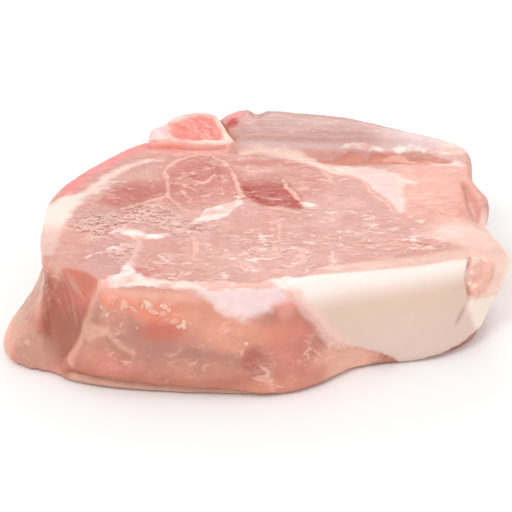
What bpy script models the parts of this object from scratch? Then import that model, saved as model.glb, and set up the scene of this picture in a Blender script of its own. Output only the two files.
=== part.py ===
"""Raw bone-in pork chop: lean meat, the fat cap on its front right, and the sawn bone end.

The chop lies on one cut face. Its outline is a ring of named landmarks, each with a point on
the upper edge and a point on the lower edge, and the skin between them is a smooth surface
over a control cage. Lengths are in millimetres up to the point where a mesh is made.
"""
import math

import bmesh
import bpy
import numpy as np

MM = 0.001

THICKNESS = 34.0            # height of the upper cut face
BOX_CENTRE = (0.6, -1.85)   # middle of the chop's box in the landmarks' own coordinates
HUB = (0.0, -3.0)           # middle of both cut faces
HUB_SHARE = 0.5             # the inner ring of the upper face, as a share of its edge
GAP = 0.3                   # clearance between neighbouring pieces

SHOULDER_INSET = 9.0        # where the upper face starts to bend towards its edge
UNDER_INSET = 6.0           # width of the rounded strip round the underside
UNDER_HEIGHT = 5.5          # height over which the wall turns in to the underside
UNDER_SWELL = 0.5           # how far the wall swells at that height
LIP_BULGE = 0.4             # how far the wall swells just below the upper edge
BELT_HEIGHT = 0.47          # height of the wall's middle ring, as a share of the edge's height

# Landmarks, anticlockwise seen from above:
# upper edge x, y, z; softness of that edge; swell of the wall at mid height; lower edge x, y
OUTLINE = {
    "lobe_tip": (85.5, -30.0, 27.0, 7.0, -1.0, 79.0, -29.0),
    "lobe_back": (78.0, -15.5, 31.0, 4.0, 0.5, 79.0, -12.0),
    "small_lobe": (79.5, -0.5, 33.0, 4.0, 0.0, 78.5, 1.0),
    "right_rear": (76.5, 15.0, 34.5, 3.0, 1.0, 77.0, 14.0),
    "rear_corner": (75.5, 34.5, 35.5, 3.0, 0.5, 73.5, 31.0),
    "slab_end": (59.0, 50.0, 37.0, 2.5, 0.5, 57.5, 45.5),
    "slab_back": (32.0, 60.5, 38.5, 2.5, 0.5, 32.0, 55.0),
    "slab_corner": (0.5, 69.5, 39.0, 2.5, 0.5, 3.0, 62.5),
    "bone_right": (-10.0, 62.0, 37.0, 2.5, 0.0, -11.0, 58.0),
    "bone_back": (-24.0, 53.5, 34.5, 2.5, 0.0, -24.0, 53.5),
    "bone_left": (-39.5, 48.5, 34.0, 2.5, 0.0, -39.5, 48.5),
    "left_rear": (-52.0, 38.5, 34.0, 3.0, 0.5, -52.0, 37.5),
    "left_bend": (-62.5, 22.5, 34.0, 3.5, 0.5, -64.0, 23.0),
    "left_side": (-69.5, 4.5, 34.0, 4.0, 0.0, -72.5, 6.5),
    "left_belly": (-71.5, -14.0, 34.0, 4.0, -3.0, -78.5, -12.0),
    "left_shoulder": (-70.0, -32.0, 34.0, 3.5, -5.5, -83.0, -30.0),
    "lobe": (-66.5, -46.0, 34.0, 3.0, -5.0, -83.5, -44.5),
    "left_wall": (-59.5, -50.0, 34.0, 2.5, -4.0, -74.0, -53.5),
    "fold_wall": (-53.5, -52.5, 34.0, 2.5, -5.0, -66.0, -56.5),
    "fold": (-49.0, -57.5, 34.0, 2.0, -6.0, -59.0, -58.0),
    "flap_corner": (-44.0, -61.5, 34.0, 2.0, 1.0, -60.0, -64.0),
    "flap": (-34.0, -64.0, 34.0, 3.0, 2.0, -45.0, -69.0),
    "flap_middle": (-18.0, -65.5, 34.0, 4.0, 2.5, -24.0, -71.5),
    "belly": (-1.0, -65.0, 34.0, 5.0, 2.0, 1.0, -73.0),
    "belly_right": (12.0, -62.0, 34.0, 4.0, 0.0, 17.5, -69.0),
    "fat_left": (25.0, -55.5, 34.0, 4.0, 1.5, 31.0, -60.0),
    "fat_middle": (40.0, -49.5, 34.0, 4.0, 2.5, 44.0, -54.0),
    "fat_right": (56.0, -44.0, 34.0, 4.5, 2.0, 60.0, -49.0),
    "fat_end": (68.5, -40.0, 33.0, 5.0, 0.5, 73.0, -40.0),
}

# The rear slab stands on the upper face behind a step: depth of the groove at its foot
STEP_Y = 38.0               # where the step lies
STEP_WIDTH = 3.5            # from the groove to the top of the step
STEP_LIP = 0.5              # how far the step's top lies below the slab's far edge
STEP_TAPER = 0.93           # the step's points sit a little inside their landmarks
STEP_GROOVE = {"slab_end": 3.5, "slab_back": 3.5, "slab_corner": 0.5, "bone_right": 0.0}

# Fat cap: the strip of the front wall between two landmarks, cut at a slant on its left
CAP_DEPTH = 7.0             # thickness of the fat, measured in from the outline
CAP_START_TOP = 23.6        # where the cap starts, in landmarks from the first one, at the top
CAP_START_FLOOR = 25.6      # and at the floor
CAP_END = 28.3              # where it ends, at the right lobe
CAP_STEPS = 14              # pieces along the cutter
CAP_LEVELS = 5              # rings down the cutter
CUTTER_REACH = 12.0         # how far the cutters pass outside the meat
CUTTER_TOP = 44.0           # heights of the cap's cutter
CUTTER_FLOOR = -4.0

# Sawn bone end: an oval column that runs through the chop
BONE_CENTRE = (-22.5, 53.5)
BONE_HALF = (17.5, 12.5)
BONE_TOP = 39.5
BONE_FLOOR_SHARE = 0.92     # its size at the floor
BONE_EDGE = 2.5             # rounding of its sawn face
BONE_SIDES = 40
BONE_SQUARENESS = 2.2       # 2 is an ellipse, more is fuller in the corners


def clear_scene():
    for old in list(bpy.data.objects):
        bpy.data.objects.remove(old, do_unlink=True)


def make_material(name, colour, roughness):
    material = bpy.data.materials.new(name)
    material.use_nodes = True
    shader = material.node_tree.nodes["Principled BSDF"]
    shader.inputs["Base Color"].default_value = (*colour, 1.0)
    shader.inputs["Roughness"].default_value = roughness
    shader.inputs["Metallic"].default_value = 0.0
    return material


def add_object(name, rings, top, floor, material):
    """Close a stack of rings, given from the top down, with a point or an n-gon at each end."""
    bm = bmesh.new()
    shift = np.array([BOX_CENTRE[0], BOX_CENTRE[1], 0.0])
    levels = [[bm.verts.new((np.array(p) - shift) * MM) for p in ring] for ring in rings]
    for upper, lower in zip(levels, levels[1:]):
        for i in range(len(upper)):
            j = (i + 1) % len(upper)
            bm.faces.new((upper[i], lower[i], lower[j], upper[j]))
    for level, hub, up in ((levels[0], top, True), (levels[-1], floor, False)):
        order = level if up else level[::-1]
        if hub is None:
            bm.faces.new(order)
            continue
        pole = bm.verts.new((np.array(hub) - shift) * MM)
        for i in range(len(order)):
            bm.faces.new((order[i], order[(i + 1) % len(order)], pole))
    mesh = bpy.data.meshes.new(name)
    bm.to_mesh(mesh)
    bm.free()
    mesh.shade_smooth()
    mesh.materials.append(material)
    obj = bpy.data.objects.new(name, mesh)
    bpy.context.scene.collection.objects.link(obj)
    return obj


def add_cutter(name, rings, material):
    """Closed solid that only cuts its neighbours, in triangles so that its copies match."""
    cutter = add_object(name, rings, None, None, material)
    bm = bmesh.new()
    bm.from_mesh(cutter.data)
    bmesh.ops.triangulate(bm, faces=bm.faces, quad_method="FIXED")
    bm.to_mesh(cutter.data)
    bm.free()
    cutter.hide_render = True
    cutter.display_type = "WIRE"
    return cutter


def through(points):
    """Control points of the closed cubic spline that passes through the given points."""
    n = len(points)
    eye = np.eye(n)
    weights = (4.0 * eye + np.roll(eye, 1, axis=0) + np.roll(eye, -1, axis=0)) / 6.0
    return np.linalg.solve(weights, points)


def outward(points):
    """Level unit normals of a closed ring that runs anticlockwise."""
    along = (np.roll(points, -1, axis=0) - np.roll(points, 1, axis=0))[:, :2]
    along /= np.linalg.norm(along, axis=1)[:, None]
    return np.column_stack([along[:, 1], -along[:, 0], np.zeros(len(points))])


def at_height(points, z):
    level = np.array(points, dtype=float)
    level[:, 2] = z
    return level


def outline_rings():
    """Control rings of the upper and the lower edge, with their outward normals."""
    table = np.array(list(OUTLINE.values()))
    upper = through(table[:, 0:3])
    lower = through(np.column_stack([table[:, 5:7], np.zeros(len(table))]))
    return table, upper, lower, outward(upper), outward(lower)


def meat_cage():
    """Rings of the control cage, from the middle of the upper face down to the underside."""
    table, upper, lower, out, out_low = outline_rings()
    softness = table[:, 3:4]
    swell = table[:, 4:5]

    middle = at_height(upper * HUB_SHARE, THICKNESS)
    shoulder = at_height(upper - out * SHOULDER_INSET, THICKNESS)
    crest = upper - out * softness
    crest[:, 2] = upper[:, 2]
    for index, name in enumerate(OUTLINE):
        if name in STEP_GROOVE:
            x = table[index, 0] * STEP_TAPER
            shoulder[index] = (x, STEP_Y - STEP_WIDTH / 2, THICKNESS - STEP_GROOVE[name])
            crest[index] = (x, STEP_Y + STEP_WIDTH / 2, table[index, 2] - STEP_LIP)
    lip = upper + out * LIP_BULGE
    lip[:, 2] -= softness[:, 0]
    belt = (upper + lower) / 2 + out * swell
    belt[:, 2] = BELT_HEIGHT * upper[:, 2]
    turn = at_height(lower + out_low * UNDER_SWELL, UNDER_HEIGHT)
    under = lower - out_low * UNDER_INSET
    return [middle, shoulder, crest, upper, lip, belt, turn, lower, under]


def spline_point(control, t):
    """Point of a closed cubic spline, with t counted in control points."""
    n = len(control)
    i = int(math.floor(t))
    f = t - i
    weights = ((1 - f) ** 3, 3 * f**3 - 6 * f**2 + 4, -3 * f**3 + 3 * f**2 + 3 * f + 1, f**3)
    return sum(w * control[(i + k - 1) % n] for k, w in enumerate(weights)) / 6.0


def cap_cutter(name, growth, material):
    """Closed strip that holds the fat cap, grown on all its inner faces by a clearance."""
    _, upper, lower, out, out_low = outline_rings()
    rings = []
    for height, control, normal, start in (
        (CUTTER_TOP, upper, out, CAP_START_TOP),
        (CUTTER_FLOOR, lower, out_low, CAP_START_FLOOR),
    ):
        spacing = np.linalg.norm(spline_point(control, start + 1) - spline_point(control, start))
        first = start - growth / spacing
        last = CAP_END + growth / spacing
        inner, outer = [], []
        for step in range(CAP_STEPS + 1):
            t = first + (last - first) * step / CAP_STEPS
            point = spline_point(control, t)
            side = spline_point(normal, t)
            inner.append(point - side * (CAP_DEPTH + growth))
            outer.append(point + side * CUTTER_REACH)
        ring = at_height(outer + inner[::-1], height)
        rings.append(ring)
    stack = [rings[0] + (rings[1] - rings[0]) * k / CAP_LEVELS for k in range(CAP_LEVELS + 1)]
    return add_cutter(name, stack, material)


def bone_rings(growth, bottom, top, edge):
    """Oval rings of the bone: a full oval with a rounded sawn face on top."""
    turn = np.linspace(0.0, 2 * np.pi, BONE_SIDES, endpoint=False)
    power = 2.0 / BONE_SQUARENESS
    cos = np.sign(np.cos(turn)) * np.abs(np.cos(turn)) ** power
    sin = np.sign(np.sin(turn)) * np.abs(np.sin(turn)) ** power
    levels = [(top - edge * (1 - math.sin(a)), edge * (1 - math.cos(a)))
              for a in np.radians((90, 60, 30, 0))] if edge else [(top, 0.0)]
    levels.append((bottom, 0.0))
    rings = []
    for z, inset in levels:
        share = BONE_FLOOR_SHARE + (1 - BONE_FLOOR_SHARE) * z / BONE_TOP
        half_x = BONE_HALF[0] * share + growth - inset
        half_y = BONE_HALF[1] * share + growth - inset
        rings.append(np.column_stack([
            BONE_CENTRE[0] + half_x * cos,
            BONE_CENTRE[1] + half_y * sin,
            np.full(BONE_SIDES, z),
        ]))
    return rings


def add_boolean(obj, operation, cutter):
    modifier = obj.modifiers.new(operation.title() + " " + cutter.name, "BOOLEAN")
    modifier.operation = operation
    modifier.solver = "EXACT"
    modifier.object = cutter


def add_meat(name, material):
    """Smooth body of the chop, with its flat parts joined into single faces."""
    meat = add_object(name, meat_cage(), (*HUB, THICKNESS), (*HUB, 0.0), material)
    smooth = meat.modifiers.new("Smooth", "SUBSURF")
    smooth.levels = 2
    smooth.render_levels = 2
    flats = meat.modifiers.new("Join flats", "DECIMATE")
    flats.decimate_type = "DISSOLVE"
    flats.angle_limit = math.radians(0.15)
    return meat


def main():
    clear_scene()
    lean_material = make_material("Lean meat", (0.78, 0.42, 0.35), 0.35)
    fat_material = make_material("Fat", (0.88, 0.74, 0.62), 0.4)
    bone_material = make_material("Sawn bone", (0.90, 0.55, 0.45), 0.4)

    lean = add_meat("lean_meat", lean_material)
    fat = add_meat("fat_cap", fat_material)
    add_object("bone_end", bone_rings(0.0, 0.0, BONE_TOP, BONE_EDGE), None, None, bone_material)

    cap = cap_cutter("cap_cutter", 0.0, fat_material)
    cap_room = cap_cutter("cap_room", GAP, fat_material)
    room_rings = bone_rings(GAP, -CUTTER_REACH, BONE_TOP + CUTTER_REACH, 0.0)
    bone_room = add_cutter("bone_room", room_rings, bone_material)

    add_boolean(fat, "INTERSECT", cap)
    add_boolean(lean, "DIFFERENCE", cap_room)
    add_boolean(lean, "DIFFERENCE", bone_room)


main()
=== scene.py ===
# Raw bone-in pork chop, dressed: wet lean meat with its seams and fat, a smooth fat cap,
# a folded flap with a few scraps on it, and the sawn bone end.
import math
import bpy
import numpy as np
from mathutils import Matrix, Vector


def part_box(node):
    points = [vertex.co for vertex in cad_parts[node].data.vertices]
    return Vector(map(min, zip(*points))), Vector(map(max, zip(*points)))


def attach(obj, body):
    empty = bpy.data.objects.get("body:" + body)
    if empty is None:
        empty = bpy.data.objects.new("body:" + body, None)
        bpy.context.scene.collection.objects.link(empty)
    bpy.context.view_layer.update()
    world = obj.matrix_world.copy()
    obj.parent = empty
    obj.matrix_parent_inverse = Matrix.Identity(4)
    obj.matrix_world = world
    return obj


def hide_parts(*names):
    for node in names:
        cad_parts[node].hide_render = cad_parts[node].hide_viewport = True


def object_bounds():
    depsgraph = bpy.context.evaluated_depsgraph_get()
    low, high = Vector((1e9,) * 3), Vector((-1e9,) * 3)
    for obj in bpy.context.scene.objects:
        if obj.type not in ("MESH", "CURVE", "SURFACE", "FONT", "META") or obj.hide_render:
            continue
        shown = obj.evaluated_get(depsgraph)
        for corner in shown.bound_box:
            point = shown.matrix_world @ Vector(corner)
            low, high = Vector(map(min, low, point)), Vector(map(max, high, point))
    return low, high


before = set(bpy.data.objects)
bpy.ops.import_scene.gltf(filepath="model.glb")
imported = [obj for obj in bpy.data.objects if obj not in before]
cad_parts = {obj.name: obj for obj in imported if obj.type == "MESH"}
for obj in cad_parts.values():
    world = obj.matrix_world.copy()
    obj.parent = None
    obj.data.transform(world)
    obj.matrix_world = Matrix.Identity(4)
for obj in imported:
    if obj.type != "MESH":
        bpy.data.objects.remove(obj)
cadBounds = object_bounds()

mm = 0.001
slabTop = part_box("bone_end")[1][2]

print("stage: settings")

# the chop's form, in millimetres: each landmark of the outline has the upper edge's x, y, z,
# the softness of that edge, the swell of the wall at mid height, and the lower edge's x, y
form = {
    "thickness": 34.0, "centre": (0.6, -1.85), "hub": (0.0, -3.0), "hubShare": 0.5,
    "shoulderInset": 9.0, "underInset": 6.0, "underHeight": 5.5, "underSwell": 0.5,
    "lipBulge": 0.4, "beltHeight": 0.47,
    "stepY": 38.0, "stepWidth": 3.5, "stepTaper": 0.93, "stepLip": 0.5,
    "stepGroove": {"slabEnd": 3.5, "slabBack": 3.5, "slabCorner": 0.5, "boneRight": 0.0},
    "outline": {
        "lobeTip": (85.0, -30.0, 27.0, 7.0, -1.5, 76.5, -28.5),
        "lobeBack": (78.0, -15.5, 31.0, 4.0, 0.5, 79.0, -12.0),
        "smallLobe": (80.3, 0.5, 33.4, 3.4, 0.0, 78.5, 1.0),
        "rightRear": (76.5, 15.0, 34.5, 3.0, 1.0, 77.0, 14.0),
        "rearCorner": (77.3, 37.0, 35.8, 3.0, 0.5, 75.0, 32.0),
        "slabEnd": (59.5, 50.6, 37.3, 2.5, 0.5, 57.5, 45.5),
        "slabBack": (33.0, 62.0, 39.4, 2.5, 0.5, 32.0, 55.0),
        "slabCorner": (6.0, 68.5, 39.4, 2.5, 0.5, 6.0, 62.0),
        "boneRight": (-9.3, 66.6, 38.8, 2.2, 0.0, -10.0, 60.0),
        "boneBack": (-24.0, 53.5, 34.5, 2.5, 0.0, -24.0, 53.5),
        "boneLeft": (-39.5, 48.5, 34.0, 2.5, 0.0, -39.5, 48.5),
        "leftRear": (-51.2, 37.2, 34.0, 3.0, 0.5, -51.2, 36.5),
        "leftBend": (-61.6, 21.4, 34.0, 3.5, 0.5, -63.2, 22.0),
        "leftSide": (-69.5, 4.5, 34.0, 4.0, 0.0, -72.5, 6.5),
        "leftBelly": (-71.0, -14.0, 34.0, 4.0, -4.0, -76.3, -12.0),
        "leftShoulder": (-69.5, -32.0, 34.0, 3.5, -9.5, -80.8, -30.0),
        "lobe": (-66.5, -46.0, 34.0, 3.0, -9.8, -82.2, -44.5),
        "leftWall": (-59.5, -50.0, 34.0, 2.5, -4.5, -77.0, -54.8),
        "foldWall": (-53.5, -52.5, 34.0, 2.5, -5.0, -67.5, -59.0),
        "fold": (-49.0, -57.5, 34.0, 2.0, -6.0, -62.0, -62.5),
        "flapCorner": (-44.0, -61.5, 34.0, 2.0, 1.0, -56.0, -66.0),
        "flap": (-34.0, -64.0, 34.0, 3.0, 2.0, -45.0, -69.0),
        "flapMiddle": (-18.0, -65.5, 34.0, 4.0, 2.5, -24.0, -71.5),
        "belly": (-1.0, -65.0, 34.0, 5.0, 2.0, 1.0, -73.0),
        "bellyRight": (12.0, -62.0, 34.0, 4.0, 0.0, 17.5, -69.0),
        "fatLeft": (25.0, -56.5, 33.6, 5.0, 1.5, 31.0, -58.4),
        "fatMiddle": (40.0, -52.0, 33.0, 5.5, 2.0, 44.0, -54.0),
        "fatRight": (56.0, -46.8, 32.6, 6.0, 1.5, 60.0, -50.0),
        "fatEnd": (68.5, -41.8, 32.0, 6.0, 0.5, 73.0, -40.0),
    },
}

# how finely the skin is meshed: cells along the upper face, and rows down each stretch of wall
skinMesh = {"lattice": 204, "turn": -0.33, "wallKnots": (4.0, 5.0, 6.0, 7.0, 8.0, 9.0),
            "wallRows": (6, 18, 14, 7, 5), "underRows": 11}

# strands on the upper face: x, y and half width along each, in millimetres
fatStrands = {
    "frontBand": [(-48.5, -57.6, 1.0), (-45.4, -57.6, 2.6), (-42.5, -56.9, 4.0), (-39.3, -56.3, 4.4),
                  (-35.7, -57.2, 3.2), (-31, -58.8, 2.8), (-23.5, -60, 2.4), (-16, -60.6, 2.4),
                  (-10.8, -60.6, 2.8), (-5.3, -60.5, 1.9), (1.3, -60.3, 1.9), (5.5, -59, 2.8),
                  (9.8, -57.9, 3.6)],
    "branch": [(-39.8, -54.2, 3.6), (-40.6, -50.4, 2.2), (-40.2, -45.9, 1.3), (-39, -40.6, 0.9),
               (-38.2, -35.1, 0.7), (-38.6, -30.4, 0.9), (-39.9, -26.9, 1.0)],
    "blotch": [(-48, -25, 0.4), (-45.4, -23.8, 1.2), (-43.0, -24.3, 2.4), (-40.6, -25.4, 2.4), (-38.0, -27.6, 2.0),
               (-34.5, -28.2, 1.6), (-31, -27.0, 1.0), (-28, -25.6, 0.4)],
    "slotLine": [(31.4, 41.4, 0.5), (35.6, 41.6, 1.0), (39.9, 41.3, 1.1), (45, 40.7, 1.0),
                 (50.8, 40.6, 1.0), (57.2, 40.7, 1.0), (64.4, 39.2, 1.0), (69.9, 36.8, 0.7)],
    "wedgeTip": [(14.6, -2.6, 0.5), (17, -3.6, 1.9), (18.8, -4.0, 0.9)],
    "whiteSpot": [(-1.8, -35.5, 0.6), (1.1, -36.6, 1.2), (3.8, -36.9, 0.5)],
    "speckA": [(8.1, -35.4, 0.7), (12.2, -36.7, 0.5)],
    "speckB": [(14.9, -36.5, 0.7), (14.9, -40, 0.8), (14.7, -45.5, 0.4)],
    "speckC": [(16.6, -35.5, 0.5), (18.9, -36, 0.4)],
    "speckD": [(11.4, -43.5, 0.5), (11.3, -48.5, 0.5)],
    "speckE": [(4.6, -38.7, 0.5), (6.4, -40.4, 0.5)],
    "speckF": [(-5.2, -48.3, 0.3), (-3.7, -50.6, 0.4), (-2.1, -48.1, 0.3), (-0.6, -51.2, 0.4), (1, -48.5, 0.3)],
    "speckG": [(-8.4, -42.9, 0.4), (-3.1, -42.4, 0.4)],
    "speckH": [(3.5, -47.3, 0.4), (7.3, -50.3, 0.4)],
    "speckI": [(-54.4, -42.7, 0.3), (-51.2, -39.1, 0.5), (-48.4, -38.6, 0.4), (-46.5, -35.4, 0.5),
               (-43.1, -36.6, 0.3), (-39.2, -34.3, 0.3)],
    "speckJ": [(-31.5, -39.8, 0.4), (-30, -42.7, 0.6), (-28.6, -44.9, 0.3)],
}
seamStrands = {
    "ringTop": [(-33.1, 22.8, 0.7), (-31.2, 27.9, 0.9), (-28, 33.6, 0.8), (-22.8, 36.9, 0.8),
                (-17.7, 36.9, 0.7), (-14.9, 34, 0.5)],
    "ringLeft": [(-33.1, 22.8, 0.7), (-31.7, 15.4, 0.6), (-30.7, 8.2, 0.6), (-31.1, 2.8, 0.6),
                 (-27.7, -3.6, 0.5), (-24.5, -8.1, 0.4)],
    "ringRight": [(-14.4, 35.6, 0.4), (-11.9, 30.5, 0.7), (-9.4, 22.9, 0.7), (-7.3, 14.6, 0.7),
                  (-6.1, 7.5, 0.8), (-5, 2, 0.7)],
    "ringInner": [(-12.8, 19.5, 0.3), (-11.9, 11.3, 0.6), (-11.8, 3.6, 0.5)],
    "squiggleA": [(-23.8, 16.2, 0.3), (-21.3, 13.1, 0.6), (-18.4, 12.1, 0.6), (-16.5, 15.9, 0.5),
                  (-14.9, 20, 0.3)],
    "squiggleB": [(-29.5, 12.7, 0.4), (-26.7, 11.3, 0.4), (-24.1, 8.2, 0.5), (-21, 5.7, 0.4)],
    "squiggleC": [(-26.5, 8.2, 0.3), (-25, 3.4, 0.5), (-22.8, -1.2, 0.3)],
    "faintLine": [(-45.5, -7.3, 0.4), (-40.9, -4.3, 0.6), (-37.2, -2, 1.0), (-34.2, 0.3, 1.1),
                  (-31.7, 2.1, 0.6)],
    "ridgeStreak": [(-4.7, 24.5, 0.4), (-1.3, 23.4, 0.9), (2.3, 24, 1.0), (6.6, 25.9, 0.5)],
    "ridgeSeam": [(10, 31.6, 0.3), (13.7, 32.4, 0.4), (18.1, 34.2, 0.6), (22.3, 32.8, 0.8),
                  (25.7, 27.9, 0.8), (29.7, 22.9, 0.7), (34.3, 18.1, 0.7), (37.7, 12.9, 0.6),
                  (38.9, 7.6, 0.5)],
    "patchUnder": [(38.8, 6.8, 0.5), (41.5, 1.5, 0.5), (44, -3.4, 0.5), (45.6, -9.6, 0.4)],
    "smallSeam": [(22.8, 27.7, 0.3), (24.6, 20.9, 0.6), (26.4, 14.7, 0.3)],
    "wedgeSeam": [(8.9, 15.7, 0.4), (10.8, 9.1, 0.9), (13.4, 3, 0.8), (15.4, -2.2, 0.7)],
    "wedgeFloor": [(1.5, -4.3, 0.3), (6.1, -7.3, 0.5), (11.4, -8.9, 0.5), (16, -9.5, 0.5),
                   (20, -10.2, 0.3)],
    "midSeam": [(20, -25.5, 0.3), (24.4, -28.9, 0.4), (28.8, -31.1, 0.45), (33.1, -33.2, 0.4),
                (37.5, -33.8, 0.3)],
    "streakA": [(7.1, -12.5, 0.3), (7.6, -18.4, 0.9), (6.9, -26.9, 1.1), (7.4, -31.1, 0.6)],
    "streakB": [(13.4, -33.9, 0.3), (14.6, -39.2, 0.6), (13.8, -44.6, 0.5), (13.1, -47.8, 0.2)],
    "streakC": [(5.2, -31.1, 0.3), (6.1, -37.2, 0.8), (7.1, -41.3, 0.5)],
    "eastLine": [(49.7, 3.5, 0.3), (54.8, 1.1, 0.4), (61.5, -0.2, 0.4), (65.4, -1.6, 0.3)],
    "eastLine2": [(54.2, 11.4, 0.3), (57.2, 6.7, 0.5), (59.2, 0.4, 0.3)],
    "slotLens": [(47, 37.6, 0.3), (49.9, 37.9, 0.6), (53.5, 37.3, 0.8), (57.5, 35, 0.4)],
    "whiteLine": [(-20.6, -28.5, 0.3), (-19.6, -33.5, 0.9), (-19.4, -39, 0.7), (-20, -42.5, 0.3)],
}

# wide fat with no clear border
softStrands = {
    "rimBand": [(-34.7, 32.6, 0.4), (-39, 32.2, 0.9), (-43, 29.6, 1.3), (-47.1, 26.2, 1.5), (-50.2, 22.1, 1.6),
                (-53, 17, 1.9), (-55.5, 11.5, 2.0), (-58, 6, 2.0)],
    "patchEast": [(48.8, 17.9, 1.5), (52.2, 14.7, 1.1), (55.5, 13.7, 0.4)],
    "slotCorner": [(63.5, 29.8, 0.4), (67, 29.3, 1.0), (70.5, 28.8, 1.4), (73, 27.0, 0.9)],
    "lobeTop": [(68, -19.4, 0.2), (72.4, -18.7, 0.6), (76, -18.3, 0.7), (79, -19.2, 0.3)],
    "lobeStreak": [(51.5, -26.9, 0.3), (55.3, -26.8, 0.7), (59.7, -28.6, 0.6), (63.4, -30.3, 0.3)],
}

# areas with their own outline: x and y of each corner on the face, x and height on the front wall
faceAreas = {
    "fleck": [(-24.3, -20.4), (-21.4, -16.9), (-18.9, -14), (-18.1, -9.1), (-16.4, -7), (-13.8, -5.4),
              (-9.8, -3.9), (-6.4, 0.4), (-5, -1.3), (-5.7, -3.5), (-8, -6.9), (-9.9, -11.2),
              (-14.2, -15.1), (-17.6, -16), (-20.4, -18.1)],
    "wedge": [(-5.9, 16.6), (-2.4, 20.6), (1.9, 22.5), (6.9, 21.7), (9.9, 16.5), (12.6, 9.4), (14.6, 2.9),
              (16.2, -4), (15.3, -7.3), (12, -7.2), (6.9, -5.2), (1.6, -5.6), (-3.3, 0.4), (-5.8, 7.2)],
    "patch": [(25.7, 29.6), (32, 30.5), (39.1, 28.6), (46, 26.1), (51, 20.7), (52, 13.7), (50.6, 5.7),
              (51.8, -0.5), (49.9, -10), (47.1, -12.3), (46.1, -4.3), (43.5, 1.2), (40.7, 7.7),
              (37.1, 15.8), (31.4, 21.5), (27, 25.4)],
    "ridge": [(-7.1, 40.2), (1.9, 41.2), (8.6, 40.4), (15.9, 39.1), (22.3, 36.2), (28.3, 29.9), (33.2, 20.5),
              (29.5, 20), (23.4, 25.6), (16.8, 30.9), (10.4, 35.7), (2, 37.4), (-6.6, 36.9)],
    "belowBone": [(-41, 43), (-41, 39.5), (-31.8, 38.4), (-24.4, 38.4), (-17.1, 37.4), (-11, 38.5),
                  (-9, 44)],
}
faceAreas["rimWhite"] = [(-69.6, -0.3), (-66.8, 2.6), (-61.5, 6.4), (-59.2, 4.4), (-59.6, -3.5), (-62.3, -10.3),
                         (-62.9, -17.8), (-63.6, -24.5), (-64.4, -34.2), (-64.8, -40), (-69.8, -40),
                         (-72, -31.7), (-73.0, -16.8), (-72.9, -7.9)]
wallAreas = {
    "membrane": [(-23.5, 34.5), (-16.4, 32.2), (-13.9, 30.5), (-10.6, 27.2), (-6.7, 25.3), (-2.7, 24.1), (1.6, 25.5),
                 (5.2, 27.4), (9.2, 29.6), (11.2, 31.5), (9.4, 37), (-25, 37)],
}

# strands on the front wall: x, height and half width along each
wallStrands = {
    "flapEdge": [(-48.3, 33.2, 0.7), (-50.1, 28.1, 0.6), (-52.2, 22.1, 0.6), (-53.9, 17.5, 0.7),
                 (-55.4, 13.2, 0.6), (-56.6, 10.6, 0.9), (-57.6, 7.8, 1.2)],
    "beigeLine": [(-53, 16.4, 1.6), (-49.5, 18.8, 1.5), (-46.1, 19.4, 1.1), (-43.6, 17.3, 0.8),
                  (-40.6, 15.2, 0.8), (-37.8, 14.2, 0.5)],
    "creamPatch": [(3.6, 8.5, 0.2), (4.2, 6.0, 0.7), (4.7, 3.2, 0.8)],
    "capFoot": [(22, 9, 0.3), (27, 8.2, 0.7), (32, 6.6, 0.9), (38, 5.2, 0.6)],
    "footLine": [(21, 12.2, 0.3), (26, 10.9, 0.5), (30, 9.2, 0.3)],
}
# pale fibre lines that run down the hollow left wall
fibreStrands = {
    "streakA": [(-61.8, 32.8, 0.1), (-60.4, 29, 0.35), (-58.7, 24.7, 0.25), (-58, 20, 0.3), (-57.2, 16, 0.1)],
    "streakB": [(-65.9, 31, 0.1), (-64, 26.7, 0.3), (-62.6, 22.7, 0.2), (-61.6, 18.4, 0.1)],
    "streakC": [(-63.9, 33, 0.1), (-61.7, 28, 0.2), (-60.6, 23, 0.25), (-59.6, 19, 0.1)],
    "streakD": [(-59.8, 33, 0.1), (-58.3, 29, 0.2), (-57.3, 26, 0.1)],
}
# the gap under the flap's lower edge: x and height along it, over the layer that lies flat below
undercut = [(-64, 1.5), (-60, 3.6), (-58.6, 5.0), (-54.7, 4.9), (-48.9, 4.7), (-42.6, 4.3), (-34.8, 3.8),
            (-26.9, 3.3), (-17.7, 2.9), (-8.4, 2.5), (-0.3, 1.5), (6, 0.8), (11, 0.3)]

# soft patches of colour: middle, radii, colour and strength; x and y on the face, x and height
# on the front wall
facePatches = [
    (-42, 14, 13, 10, "greyish", 0.8), (-20, 17, 13, 20, "round", 0.75), (-18, 22, 8, 8, "roundDeep", 0.5),
    (-40, 7, 9, 7.5, "roundDeep", 0.85), (-48, 2, 6, 7, "round", 0.6), (4, 31, 14, 3.2, "round", 0.7),
    (18, 22, 10, 7, "round", 0.45), (30, 8, 12, 10, "leanDeep", 0.3), (62, 8, 17, 22, "rearPale", 0.9),
    (60, -14, 12, 7, "rearPale", 0.5), (-57, -26, 8, 9, "pinkish", 0.6), (-53, -12, 8, 8, "mauve", 0.7),
    (-45, -38, 9, 12, "mauve", 0.6), (-47, -47, 8, 5, "mauve", 0.7), (-30, -40, 9, 9, "leanDeep", 0.35),
    (0, -45, 20, 9, "leanPale", 0.4), (70, -24, 12, 10, "rightLobe", 0.9), (52, -30, 10, 6, "leanPink", 0.6),
    (-2, -12, 10, 7, "leanDeep", 0.35), (-7, 11, 5, 11, "round", 0.6), (17.5, 10, 6, 8, "round", 0.5),
    (-43, -3.5, 7, 5, "roundDeep", 0.5), (1, -24, 8, 6, "leanDeep", 0.6), (-34.5, -51.5, 5, 3.5, "round", 0.5),
    (70.5, 31, 6, 5, "lean", 0.5), (40, -14, 12, 9, "leanDeep", 0.2),
]
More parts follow.
